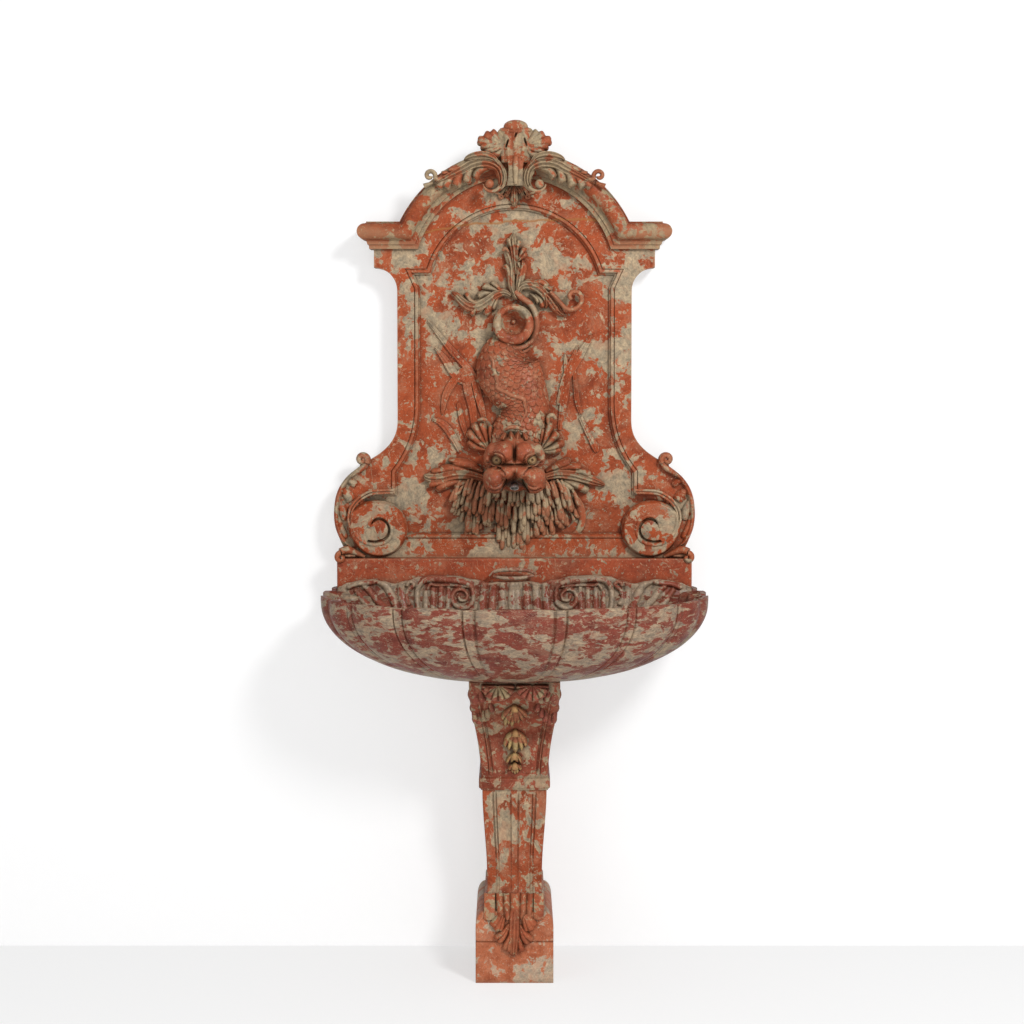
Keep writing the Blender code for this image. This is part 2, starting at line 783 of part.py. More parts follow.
def basin_ring(half_width, front, back, level, bulge, rim_wave=0.0):
    """One level of the bowl, from the right back corner round the front to the left."""
    reach = front - BASIN_WIDEST_DEPTH
    marks = []
    for lobe in range(BACK_LOBES):
        for share, swell in LOBE_SHAPE:
            along = (lobe + share) / BACK_LOBES
            depth = back + (BASIN_WIDEST_DEPTH - back) * along
            width = half_width * (1 - (1 - BASIN_BACK_NARROWING) * (1 - along) ** 2)
            marks.append((width + swell * bulge * min(1.0, 4 * along), depth, swell))
    for low, high in zip(RIB_ANGLES[::-1], RIB_ANGLES[-2::-1]):
        for share, swell in LOBE_SHAPE:
            angle = math.radians(low + (high - low) * share)
            across, ahead = math.sin(angle), math.cos(angle)
            size = abs(across) ** BASIN_SQUARENESS + abs(ahead) ** BASIN_SQUARENESS
            size = size ** (-1 / BASIN_SQUARENESS)
            x = across * (half_width * size + swell * bulge)
            marks.append((x, BASIN_WIDEST_DEPTH + ahead * (reach * size + swell * bulge), swell))
    mirrored_back = []
    for x, depth, swell in marks[1 : BACK_LOBES * len(LOBE_SHAPE)]:
        mirrored_back.append((-x, depth, swell))
    marks.append((-marks[BACK_LOBES * len(LOBE_SHAPE)][0], BASIN_WIDEST_DEPTH, LOBE_SHAPE[0][1]))
    marks += reversed(mirrored_back)
    marks.append((-marks[0][0], marks[0][1], marks[0][2]))
    return [place(x, depth, level + rim_wave * max(0.0, swell)) for x, depth, swell in marks]


def basin_rings():
    outer_half = BASIN_HALF_WIDTH - BASIN_LOBE_BULGE
    outer_front = BASIN_DEPTH - BASIN_LOBE_BULGE
    height = RIM - BASIN_BOTTOM - 0.010
    rings = []
    for i in range(6):
        angle = math.radians(84 * i / 5)
        out, up = math.sin(angle), 1 - math.cos(angle)
        half = BASIN_FOOT_HALF_WIDTH + (outer_half - BASIN_FOOT_HALF_WIDTH) * out
        front = BASIN_FOOT_FRONT + (outer_front - BASIN_FOOT_FRONT) * out
        level = BASIN_BOTTOM + height * up
        rings.append(basin_ring(half, front, 0.0, level, BASIN_LOBE_BULGE * out))
    rings.append(basin_ring(outer_half, outer_front, 0.0, RIM - 0.006, BASIN_LOBE_BULGE))
    lip_half = outer_half - 0.35 * BASIN_LIP
    lip_front = outer_front - 0.35 * BASIN_LIP
    rings.append(basin_ring(lip_half, lip_front, 0.0, RIM, BASIN_LOBE_BULGE * 0.9))
    inner_half = outer_half - BASIN_LIP
    inner_front = outer_front - BASIN_LIP
    rings.append(basin_ring(inner_half, inner_front, BASIN_BACK_LEDGE, RIM, BASIN_LOBE_BULGE * 0.6))
    depth_inside = RIM - BOWL_FLOOR
    for i in range(4):
        angle = math.radians(80 - 80 * i / 3)
        out, up = math.sin(angle), 1 - math.cos(angle)
        half = BOWL_FLOOR_HALF_WIDTH + (inner_half - 0.004 - BOWL_FLOOR_HALF_WIDTH) * out
        front = BOWL_FLOOR_FRONT + (inner_front - 0.004 - BOWL_FLOOR_FRONT) * out
        level = BOWL_FLOOR + depth_inside * up
        back = BASIN_BACK_LEDGE + 0.004 * (i + 1)
        rings.append(basin_ring(half, front, back, level, BASIN_LOBE_BULGE * 0.5 * out))
    return rings


basin = settle(loft("basin", basin_rings(), 35), DEEP_MARBLE)
cut(
    basin,
    hide_as_cutter(
        cylinder_between(
            "basin_drain",
            place(0.0, DRAIN_DEPTH, BASIN_BOTTOM - 0.02),
            place(0.0, DRAIN_DEPTH, BOWL_FLOOR + 0.02),
            SPIGOT_RADIUS + 2 * GAP,
            20,
        )
    ),
)


# Carving on the back ledge of the basin: two C scrolls and a small shell between
LEDGE_LEVEL = RIM + GAP
ledge_depth = BASIN_BACK_LEDGE - PLINTH_DEPTH


def ledge_seat(x, z):
    return PLINTH_DEPTH + GAP


ledge_scroll = [
    dict(
        controls=[
            (0.0, LEDGE_LEVEL + 0.012),
            (LEDGE_SCROLL_REACH / 2, LEDGE_LEVEL + 0.018),
            (LEDGE_SCROLL_REACH, LEDGE_LEVEL + 0.0115),
        ],
        widths=(0.011, 0.016, 0.015, 0.009),
        height=ledge_depth,
        seat=ledge_seat,
        lobes=4,
        lobe_depth=0.2,
        count=12,
    )
]
ledge_pieces = ledge_scroll + mirrored(ledge_scroll, -1)
ledge_pieces.append(
    dict(
        controls=[(-0.045, LEDGE_LEVEL + 0.024), (0.0, LEDGE_LEVEL + 0.036), (0.045, LEDGE_LEVEL + 0.024)],
        widths=(0.006, 0.016, 0.016, 0.006),
        height=ledge_depth,
        seat=ledge_seat,
        count=10,
    )
)
basin_back_carving = leaf_group("basin_back_carving", ledge_pieces, DEEP_MARBLE)
cut(
    basin_back_carving,
    hide_as_cutter(
        block("ledge_bed", (-0.5, 0.5), (0.0, 0.3), (RIM - 0.1, LEDGE_LEVEL))
    ),
)


# Drain fitting, overflow and waste
FLANGE_TOP = BOWL_FLOOR + GAP + FLANGE_THICKNESS
STANDPIPE_SEAT = FLANGE_TOP - 0.022
bore = SPIGOT_RADIUS - SPIGOT_WALL
settle(
    turned(
        "waste_flange",
        [
            (bore, FLANGE_TOP - 0.001),
            (bore + 0.001, FLANGE_TOP),
            (FLANGE_RADIUS - 0.002, FLANGE_TOP),
            (FLANGE_RADIUS, FLANGE_TOP - FLANGE_THICKNESS + 0.001),
            (FLANGE_RADIUS, BOWL_FLOOR + GAP),
            (SPIGOT_RADIUS, BOWL_FLOOR + GAP),
            (SPIGOT_RADIUS, SPIGOT_END),
            (bore - 0.004, SPIGOT_END),
            (bore - 0.004, STANDPIPE_SEAT),
            (bore, STANDPIPE_SEAT),
        ],
        place(0.0, DRAIN_DEPTH, 0.0),
        closed=True,
    ),
    BRASS,
)
washer_top = BASIN_BOTTOM - GAP
nut_top = washer_top - WASHER_THICKNESS - GAP
ring_bore = SPIGOT_RADIUS + GAP
settle(
    turned(
        "waste_washer",
        [
            (ring_bore, washer_top),
            (LOCKNUT_RADIUS, washer_top),
            (LOCKNUT_RADIUS, washer_top - WASHER_THICKNESS),
            (ring_bore, washer_top - WASHER_THICKNESS),
        ],
        place(0.0, DRAIN_DEPTH, 0.0),
        closed=True,
    ),
    RUBBER,
)


def hexagon_ring(name, start, end, radius, inner):
    """A six-sided nut between two points, bored through."""
    obj = cylinder_between(name, start, end, radius, 6)
    reach = (end - start).normalized() * 0.01
    bore_radius = inner / math.cos(math.pi / 16)
    cut(obj, hide_as_cutter(cylinder_between(f"{name}_bore", start - reach, end + reach, bore_radius, 16)))
    return obj


settle(
    hexagon_ring(
        "waste_locknut",
        place(0.0, DRAIN_DEPTH, nut_top - LOCKNUT_HEIGHT),
        place(0.0, DRAIN_DEPTH, nut_top),
        LOCKNUT_RADIUS,
        ring_bore,
    ),
    BRASS,
)

pipe_points = [place(0.0, DRAIN_DEPTH, SPIGOT_END - GAP)]
pipe_points += bend_points[1:-1]
pipe_points.append(place(0.0, 0.0, WASTE_LEVEL))
settle(pipe("waste_pipe", pipe_points, SPIGOT_RADIUS, WASTE_WALL), LEAD_PIPE)

STANDPIPE_TOP = RIM - STANDPIPE_BELOW_RIM
standpipe_bore = STANDPIPE_RADIUS - STANDPIPE_WALL
settle(
    turned(
        "overflow_standpipe",
        [
            (standpipe_bore, STANDPIPE_TOP),
            (STANDPIPE_RADIUS + 0.003, STANDPIPE_TOP),
            (STANDPIPE_RADIUS + 0.003, STANDPIPE_TOP - 0.006),
            (STANDPIPE_RADIUS, STANDPIPE_TOP - 0.009),
            (STANDPIPE_RADIUS, FLANGE_TOP + 0.008),
            (bore - GAP, FLANGE_TOP + 0.004),
            (bore - GAP, STANDPIPE_SEAT + GAP),
            (standpipe_bore, STANDPIPE_SEAT + GAP),
        ],
        place(0.0, DRAIN_DEPTH, 0.0),
        closed=True,
    ),
    BRASS,
)


# Plinth slab between basin and panel
plinth_slab = settle(
    block(
        "plinth_slab",
        (-PLINTH_HALF_WIDTH, PLINTH_HALF_WIDTH),
        (0.0, PLINTH_DEPTH),
        (PLINTH_BOTTOM, PLINTH_TOP),
    ),
    RED_MARBLE,
)
arris = plinth_slab.modifiers.new("arris", "BEVEL")
arris.width = 0.003
arris.segments = 1


# Side scrolls
VOLUTE_MIDDLE = PLINTH_TOP + GAP + VOLUTE_RADIUS
CURL_X = VOLUTE_CENTRE + 0.0165
CURL_Z = PLINTH_TOP + VOLUTE_NECK_HEIGHT


def volute_outline(side, grow=0.0):
    """The scroll seen from the front; grow widens it to the cut that it stands in."""
    disc = VOLUTE_RADIUS + grow
    curl = VOLUTE_CURL_RADIUS + grow
    foot = VOLUTE_FOOT_CURL_RADIUS
    foot_x = VOLUTE_CENTRE + 0.80 * VOLUTE_RADIUS
    outline = arc(VOLUTE_CENTRE, VOLUTE_MIDDLE, disc, 128, 262, 16)
    floor = PLINTH_TOP + GAP - 4 * grow
    outline.append((VOLUTE_CENTRE - 0.012, floor))
    outline.append((foot_x, floor))
    outline += arc(foot_x, PLINTH_TOP + GAP + foot, foot, -60, 110, 6)
    outline += arc(VOLUTE_CENTRE, VOLUTE_MIDDLE, disc, -36, 36, 8)
    neck = Vector((CURL_X, CURL_Z))
    outline.append((neck.x + 0.040 + grow, neck.y - 0.062))
    outline.append((neck.x + 0.022 + grow, neck.y - 0.036))
    outline += arc(CURL_X, CURL_Z, curl, -50, 215, 11)
    outline.append((neck.x - 0.024 - grow, neck.y - 0.038))
    outline.append((neck.x - 0.046 - grow, neck.y - 0.060))
    return [(side * x, z) for x, z in outline]


EYE_X = VOLUTE_CENTRE - 0.0175
EYE_Z = VOLUTE_MIDDLE - 0.014


def spiral_groove(side):
    points = []
    for i in range(23):
        turn = 6.67 * i / 22
        radius = 0.31 * VOLUTE_RADIUS + 0.60 * VOLUTE_RADIUS * math.exp(-0.42 * turn)
        angle = math.radians(77) - turn
        x = EYE_X + radius * math.cos(angle)
        points.append(place(side * x, VOLUTE_DEPTH, EYE_Z + radius * math.sin(angle)))
    return points


volutes = {}
for side, name in ((-1, "volute_left"), (1, "volute_right")):
    volutes[name] = settle(outline_prism(name, volute_outline(side), 0.0, VOLUTE_DEPTH), RED_MARBLE)
    cut(volutes[name], hide_as_cutter(tube(f"{name}_groove", spiral_groove(side), VOLUTE_GROOVE_RADIUS, 1)))


# Back panel
PANEL_TOP_LEDGE = CORNICE_BOTTOM + CORNICE_REBATE - GAP


def arch_rise(radius, level):
    return math.sqrt(radius**2 - (level - ARCH_CENTRE) ** 2)


def panel_outline():
    """Right half from the foot to the crown, then its mirror image."""
    waist = PANEL_WAIST_HALF_WIDTH
    flare_top = CURL_Z + 0.10
    foot = CURL_Z
    half = [(VOLUTE_CENTRE - 0.045, PANEL_BOTTOM), (VOLUTE_CENTRE - 0.010, VOLUTE_MIDDLE)]
    half.append((CURL_X - 0.018, CURL_Z - 0.025))
    half.append((CURL_X - 0.012, foot))
    for i in range(1, 9):
        share = i / 8
        x = waist + (CURL_X - 0.016 - waist) * (1 - share) ** 2.6
        half.append((x, foot + 0.004 + (flare_top - foot) * share))
    shoulder = CORNICE_BOTTOM - 0.044
    half.append((waist, shoulder - SHOULDER_RADIUS))
    half += arc(waist + SHOULDER_RADIUS, shoulder - SHOULDER_RADIUS, SHOULDER_RADIUS, 170, 90, 6)[:-1]
    half.append((PANEL_SHOULDER_HALF_WIDTH, shoulder))
    half.append((PANEL_SHOULDER_HALF_WIDTH, PANEL_TOP_LEDGE))
    crown = ARCH_RADIUS + CORNICE_REBATE - GAP
    start = math.degrees(math.asin((PANEL_TOP_LEDGE - ARCH_CENTRE) / crown))
    half += arc(0.0, ARCH_CENTRE, crown, start, 90, ARCH_STEPS // 2)
    return half + [(-x, z) for x, z in reversed(half[:-1])]


def field_outline(inset):
    """The sunk field: arched top with ears, straight sides, flared foot."""
    waist = FIELD_HALF_WIDTH - inset
    ear = waist + 0.011
    radius = FIELD_ARCH_RADIUS - inset
    centre = ARCH_CENTRE - 0.043
    ear_level = centre + 0.066
    start = math.degrees(math.asin((ear_level - centre) / radius))
    foot_x = CURL_X - 0.0665 - inset
    foot_z = CURL_Z - 0.024
    floor = PANEL_BOTTOM + FIELD_BOTTOM_LEDGE + inset
    half = [(VOLUTE_CENTRE - VOLUTE_RADIUS - 0.022 - inset, floor)]
    half.append((VOLUTE_CENTRE - VOLUTE_RADIUS - 0.022 - inset, VOLUTE_MIDDLE + 0.045))
    half.append((foot_x, foot_z - 0.045))
    half.append((foot_x, foot_z))
    for i in range(1, 8):
        share = i / 7
        half.append((waist + (foot_x - waist) * (1 - share) ** 2.4, foot_z + 0.170 * share))
    half.append((waist, ear_level - 0.030))
    half.append((ear, ear_level - 0.018))
    half.append((ear, ear_level - inset))
    half += arc(0.0, centre, radius, start, 90, 12)
    return half + [(-x, z) for x, z in reversed(half[:-1])]


back_panel = settle(outline_prism("back_panel", panel_outline(), 0.0, PANEL_THICKNESS), RED_MARBLE)
for step, inset in ((1, 0.0), (2, 0.012)):
    floor_depth = PANEL_THICKNESS - step * PANEL_STEP
    sunk = outline_prism(f"field_step_{step}", field_outline(inset), floor_depth, PANEL_THICKNESS + 0.02)
    cut(back_panel, hide_as_cutter(sunk))
for side in (-1, 1):
    room = outline_prism(f"volute_room_{side}", volute_outline(side, GAP), -0.02, PANEL_THICKNESS + 0.03)
    cut(back_panel, hide_as_cutter(room))


# Arched cornice: one moulding with level returns, mitred into a round arch
def cornice_section():
    """(outward, depth) points: the moulded front, the top, and the rebate over the panel."""
    seat = PANEL_THICKNESS + GAP
    torus = CORNICE_TORUS_RADIUS
    middle = CORNICE_HEIGHT - torus - 0.004
    front = seat + CORNICE_PROJECTION - torus
    points = [(0.0, seat), (0.0, seat + 0.010), (0.010, seat + 0.012)]
    points.append((middle - torus, front))
    for i in range(1, 8):
        angle = math.pi * i / 8
        points.append((middle - torus * math.cos(angle), front + torus * math.sin(angle)))
    points += [(middle + torus, front), (CORNICE_HEIGHT, front), (CORNICE_HEIGHT, 0.0)]
    points += [(CORNICE_REBATE, 0.0), (CORNICE_REBATE, seat)]
    return points


def cornice_rings():
    section = cornice_section()
    seat = PANEL_THICKNESS + GAP
    end = PANEL_SHOULDER_HALF_WIDTH + GAP

    def proud(depth):
        return max(0.0, depth - seat)

    left = [[], []]
    for out, depth in section:
        left[0].append(place(-end - proud(depth), 0.0, CORNICE_BOTTOM + out))
        left[1].append(place(-end - proud(depth), depth, CORNICE_BOTTOM + out))
    mitre = [
        place(-arch_rise(ARCH_RADIUS + out, CORNICE_BOTTOM + out), depth, CORNICE_BOTTOM + out)
        for out, depth in section
    ]
    rings = left + [mitre]
    for i in range(1, ARCH_STEPS):
        ring = []
        for out, depth in section:
            radius = ARCH_RADIUS + out
            start = math.pi - math.asin((ARCH_CENTRE_DROP + out) / radius)
            angle = start - (2 * start - math.pi) * i / ARCH_STEPS
            x, z = radius * math.cos(angle), radius * math.sin(angle)
            ring.append(place(x, depth, ARCH_CENTRE + z))
        rings.append(ring)
    for ring in (mitre, left[1], left[0]):
        rings.append([Vector((-point.x, point.y, point.z)) for point in ring])
    return rings


arched_cornice = settle(loft("arched_cornice", cornice_rings(), 35), RED_MARBLE)


# Crest: a fluted shell with a domed cap, leafy arms and a drop
def on_cornice(x, z):
    return CORNICE_FRONT + GAP


CREST_TOP = ARCH_TOP + CREST_RISE
root_z = ARCH_TOP - 0.068
SHELL_RIBS = 7


SHELL_PROFILE = ((0.12, -0.002), (0.12, 0.5), (0.45, 1.0), (0.80, 0.85), (1.0, 0.35), (1.0, -0.002))


def shell_rings():
    """A fan of ribs about the root, each ring one direction of the fan."""
    rings = []
    for i, angle in enumerate(stations(-6.0, 186.0, 4 * SHELL_RIBS)):
        turn = math.radians(angle)
        rib = abs(math.sin(math.pi * i / 4))
        length = 0.074 + 0.032 * abs(math.sin(turn)) ** 1.5
        length *= 0.86 + 0.14 * rib
        swell = CREST_DEPTH * (0.68 + 0.32 * rib)
        ring = []
        for share, lift in SHELL_PROFILE:
            depth = CORNICE_FRONT + (lift * swell if lift > 0 else lift)
            x = share * length * math.cos(turn)
            ring.append(place(x, depth, root_z + share * length * math.sin(turn)))
        rings.append(ring)
    return rings


crest_shell = settle(loft("crest_shell", shell_rings(), 40), WORN_MARBLE)
cap = turned(
    "crest_cap",
    [
        (0.0, CREST_TOP),
        (0.45 * CREST_CAP_RADIUS, CREST_TOP - 0.002),
        (0.85 * CREST_CAP_RADIUS, CREST_TOP - 0.008),
        (CREST_CAP_RADIUS, CREST_TOP - 0.017),
        (1.30 * CREST_CAP_RADIUS, CREST_TOP - 0.020),
        (1.30 * CREST_CAP_RADIUS, CREST_TOP - 0.027),
        (0.80 * CREST_CAP_RADIUS, CREST_TOP - 0.038),
        (0.0, CREST_TOP - 0.042),
    ],
    place(0.0, CORNICE_FRONT - 0.010, 0.0),
    steps=16,
)
fuse(crest_shell, hide_as_cutter(cap))
crown_block = block(
    "crest_back",
    (-0.045, 0.045),
    (CORNICE_FRONT - 0.035, CORNICE_FRONT + 0.010),
    (ARCH_TOP - 0.010, CREST_TOP - 0.032),
)
fuse(crest_shell, hide_as_cutter(crown_block))

arch_room_outline = arc(0.0, ARCH_CENTRE, ARCH_RADIUS + CORNICE_HEIGHT + GAP, 0, 180, 36)
arch_room = outline_prism("arch_room", arch_room_outline, -0.02, CORNICE_FRONT + GAP)
cut(crest_shell, hide_as_cutter(arch_room))

arm_tip_z = ARCH_CENTRE + math.sqrt((ARCH_RADIUS + CORNICE_HEIGHT - 0.014) ** 2 - CREST_ARM_REACH**2)
crest_arm = [
    dict(
        controls=[
            (0.078, ARCH_TOP - 0.046),
            (0.100, ARCH_TOP - 0.026),
            (0.135, ARCH_TOP - 0.048),
            (0.165, arm_tip_z + 0.002),
            (CREST_ARM_REACH - 0.006, arm_tip_z - 0.006),
        ],
        widths=(0.010, 0.018, 0.017, 0.012, 0.006),
        height=0.022,
        seat=on_cornice,
        lobes=5,
        count=20,
    ),
]
for side, word in ((-1, "left"), (1, "right")):
    arm_curl = (side * CREST_ARM_REACH, arm_tip_z, CREST_CURL_RADIUS, 0.024, CORNICE_FRONT + GAP)
    leaf_group(f"crest_scroll_{word}", mirrored(crest_arm, side), WORN_MARBLE, [arm_curl])


def on_frieze(x, z):
    return PANEL_THICKNESS + GAP


drop_z = ARCH_CENTRE + ARCH_RADIUS - 0.009
drop_leaves = [
    dict(
        controls=[(0.0, drop_z), (0.0, drop_z - 0.030), (0.0, drop_z - DROP_LENGTH)],
        widths=(0.009, 0.016, 0.013, 0.002),
        height=DROP_DEPTH,
        seat=on_frieze,
        lobes=2,
        count=8,
    )
]
drop_scroll = dict(
    controls=[(0.004, drop_z - 0.009), (0.024, drop_z - 0.007), (DROP_SCROLL_REACH - 0.004, drop_z - 0.014)],
    widths=(0.007, 0.008, 0.007),
    height=0.8 * DROP_DEPTH,
    seat=on_frieze,
    count=6,
)
drop_leaves += [drop_scroll] + mirrored([drop_scroll], -1)
curl_z = drop_z - 0.018
drop_curls = [
    (side * DROP_SCROLL_REACH, curl_z, DROP_CURL_RADIUS, DROP_DEPTH, PANEL_THICKNESS + GAP)
    for side in (-1, 1)
]
leaf_group("crest_drop", drop_leaves, WORN_MARBLE, drop_curls)


# Dolphin head: a smooth swelling form of brows, eyes, muzzle lobes and jaw. The lumps are
# written for a model head, from its middle, and are stretched to the head's own sizes
MODEL_HALF_WIDTH = 0.0755
MODEL_DEPTH = 0.200
MODEL_MIDDLE = 0.080
HEAD_STRETCH = HEAD_HALF_WIDTH / MODEL_HALF_WIDTH
HEAD_DEEPEN = (HEAD_REACH - FIELD_DEPTH) / MODEL_DEPTH
HEAD_MIDDLE_DEPTH = FIELD_DEPTH + MODEL_MIDDLE * HEAD_DEEPEN
HEAD_LUMPS = (
    ((0.0, 0.000, 0.015), (0.064, 0.080, 0.056)),
    ((0.030, 0.052, 0.038), (0.030, 0.034, 0.022)),
    ((0.041, 0.070, 0.017), (0.014, 0.014, 0.014)),
    ((0.036, 0.082, -0.024), (0.037, 0.034, 0.028)),
    ((0.0, 0.082, 0.000), (0.016, 0.030, 0.030)),
    ((0.0, 0.050, -0.064), (0.042, 0.046, 0.018)),
    ((0.050, 0.020, -0.020), (0.023, 0.050, 0.040)),
    ((0.0, -0.050, 0.000), (0.058, 0.060, 0.055)),
)
HEAD_BLEND = 0.010


def head_field(point):
    """Below zero inside the model head. The lumps on one side repeat on the other."""
    total = 1.0
    for (x, depth, z), (rx, rp, rz) in HEAD_LUMPS:
        for side in (-1, 1) if x else (1,):
            dx = (point[0] - side * x) / rx
            dp = (point[1] - depth) / rp
            dz = (point[2] - z) / rz
            value = (math.sqrt(dx * dx + dp * dp + dz * dz) - 1) * min(rx, rp, rz)
            share = max(0.0, min(1.0, 0.5 + 0.5 * (total - value) / HEAD_BLEND))
            total = total + (value - total) * share - HEAD_BLEND * share * (1 - share)
    return total


def head_surface(direction, grow):
    """The point of the head's surface in a direction, measured from the head's middle."""
    low, high = 0.0, MODEL_DEPTH
    for _ in range(22):
        middle = (low + high) / 2
        if head_field(direction * middle) < 0:
            low = middle
        else:
            high = middle
    spot = direction * low
    stretched = Vector((spot.x * HEAD_STRETCH, spot.y * HEAD_DEEPEN, spot.z * HEAD_STRETCH))
    return stretched + direction * grow


def head_form(name, grow=0.0):
    bm = bmesh.new()
    bmesh.ops.create_uvsphere(bm, u_segments=28, v_segments=19, radius=1.0)
    for vert in bm.verts:
        x, y, z = vert.co
        spot = head_surface(Vector((x, z, -y)).normalized(), grow)
        depth = max(SEAT_DEPTH - 10 * grow, HEAD_MIDDLE_DEPTH + spot.y)
        vert.co = place(spot.x, depth, HEAD_HEIGHT + spot.z)
    bmesh.ops.remove_doubles(bm, verts=bm.verts, dist=0.00002)
    return mesh_object(name, bm, 50)


dolphin_head = settle(head_form("dolphin_head"), WORN_MARBLE)
head_room = hide_as_cutter(head_form("head_room", MITRE_GAP))
mouth_bm = bmesh.new()
bmesh.ops.create_uvsphere(mouth_bm, u_segments=14, v_segments=8, radius=1.0)
mouth_size = (0.40 * HEAD_HALF_WIDTH, 0.22 * HEAD_REACH, 0.17 * HEAD_HALF_WIDTH)
bmesh.ops.scale(mouth_bm, verts=mouth_bm.verts, vec=mouth_size)
mouth_middle = place(0.0, HEAD_REACH - 0.005, SPOUT_HEIGHT - 0.002)
bmesh.ops.translate(mouth_bm, verts=mouth_bm.verts, vec=mouth_middle)
cut(dolphin_head, hide_as_cutter(mesh_object("mouth_opening", mouth_bm)))
cut(
    dolphin_head,
    hide_as_cutter(
        cylinder_between(
            "spout_bore",
            place(0.0, SEAT_DEPTH - 0.02, SPOUT_HEIGHT),
            place(0.0, HEAD_REACH + 0.02, SPOUT_HEIGHT),
            SPOUT_RADIUS + 2 * GAP,
            12,
        )
    ),
)


# Coil of the tail: a dished disc with a button
settle(
    turned(
        "tail_coil",
        [
            (0.0, 0.55 * COIL_DEPTH),
            (0.20 * COIL_RADIUS, 0.52 * COIL_DEPTH),
            (0.27 * COIL_RADIUS, 0.38 * COIL_DEPTH),
            (0.42 * COIL_RADIUS, 0.36 * COIL_DEPTH),
            (0.60 * COIL_RADIUS, 0.62 * COIL_DEPTH),
            (0.72 * COIL_RADIUS, 0.95 * COIL_DEPTH),
            (0.85 * COIL_RADIUS, COIL_DEPTH),
            (COIL_RADIUS, 0.80 * COIL_DEPTH),
            (COIL_RADIUS, 0.0),
            (0.0, 0.0),
        ],
        place(0.0, SEAT_DEPTH, COIL_HEIGHT),
        axis="FRONT",
        steps=24,
    ),
    WORN_MARBLE,
)


# Body of the dolphin: a fat S from the head up to the coil, its middle line and half
# width as shares of the sway, the rise to the coil and the greatest half width
BODY_SHARES = (
    (0.00, 0.105, 0.734),
    (0.52, 0.240, 0.747),
    (1.00, 0.404, 0.760),
    (0.17, 0.554, 0.905),
    (-0.67, 0.674, 1.000),
    (-0.87, 0.787, 0.810),
    (-0.87, 0.883, 0.570),
    (-0.52, 0.958, 0.430),
)


def body_rings(grow=0.0):
    count = 16
    last = len(BODY_SHARES) - 1
    widths = [(i / last, BODY_HALF_WIDTH * row[2]) for i, row in enumerate(BODY_SHARES)]
    middles = laid_out([row[:2] for row in BODY_SHARES], BODY_SWAY, HEAD_HEIGHT, COIL_ABOVE_HEAD)
    rings = []
    for i, (point, slope) in enumerate(smooth_path(middles, count)):
        half = between(widths, i / count) + grow
        depth = BODY_DEPTH * min(1.0, half / (0.76 * BODY_HALF_WIDTH)) + grow
        side = Vector((slope[1], -slope[0]))
        ring = []
        for k in range(9):
            angle = math.pi * k / 8
            spot = point - side * half * math.cos(angle)
            lift = depth * math.sin(angle) ** 0.8 if 0 < k < 8 else 0.0
            ring.append(place(spot[0], SEAT_DEPTH - grow + lift, spot[1]))
        rings.append(ring)
    return rings


dolphin_body = settle(loft("dolphin_body", body_rings(), 50), WORN_MARBLE)
body_room = hide_as_cutter(loft("body_room", body_rings(2 * MITRE_GAP), None))
coil_room = cylinder_between(
    "coil_room",
    place(0.0, SEAT_DEPTH - 0.02, COIL_HEIGHT),
    place(0.0, SEAT_DEPTH + 0.20, COIL_HEIGHT),
    COIL_RADIUS + MITRE_GAP,
    24,
)
cut(dolphin_body, head_room, hide_as_cutter(coil_room))


# Tail fins, whose stems start at the coil
stem = COIL_RADIUS + 0.002
root_x = 0.75 * stem
root_rise = 0.80 * stem
leaf_group(
    "tail_plume",
    [
        dict(
            controls=laid_out(
                ((0.08, 0.0), (-0.12, 0.37), (0.08, 0.68), (0.0, 1.0)),
                COIL_RADIUS,
                COIL_HEIGHT + stem,
                PLUME_LENGTH,
            ),
            widths=(0.010, 0.015, 0.026, 0.029, 0.020, 0.003),
            height=FROND_DEPTH,
            seat=on_panel,
            lobes=5,
            lobe_depth=0.35,
            count=20,
        )
    ],
    WORN_MARBLE,
)
leaf_group(
    "tail_frond_left",
    [
        dict(
            controls=[(-root_x, COIL_HEIGHT + root_rise)]
            + laid_out(
                ((-0.44, 0.43), (-0.72, 0.38), (-1.0, 0.42)), FROND_REACH, COIL_HEIGHT, FROND_REACH
            ),
            widths=(0.010, 0.019, 0.026, 0.020, 0.004),
            height=FROND_DEPTH,
            seat=on_panel,
            lobes=4,
            lobe_depth=0.3,
            count=16,
        )
    ],
    WORN_MARBLE,
)
leaf_group(
    "tail_frond_right",
    [
        dict(
            controls=[(root_x, COIL_HEIGHT + root_rise)]
            + laid_out(
                ((0.38, 0.42), (0.63, 0.415), (0.908, 0.316)), FROND_REACH, COIL_HEIGHT, FROND_REACH
            ),
            widths=(0.010, 0.015, 0.019, 0.016, 0.010),
            height=FROND_DEPTH,
            seat=on_panel,
            lobes=4,
            lobe_depth=0.3,
            count=16,
        ),
    ],
    WORN_MARBLE,
    [(0.974 * FROND_REACH, COIL_HEIGHT + 0.38 * FROND_REACH, 0.021, FROND_DEPTH, SEAT_DEPTH)],
)


# Ear fins, wing leaves and beard, each cut to the head
def before_reeds(x, z):
    return SEAT_DEPTH + REED_DEPTH + GAP


def beside_head(points, reach):
    """A leaf's path: it starts inside the head's side and runs out to its reach."""
    return laid_out(points[:1], HEAD_HALF_WIDTH, HEAD_HEIGHT, HEAD_HALF_WIDTH) + laid_out(
        points[1:], reach, HEAD_HEIGHT, reach
    )


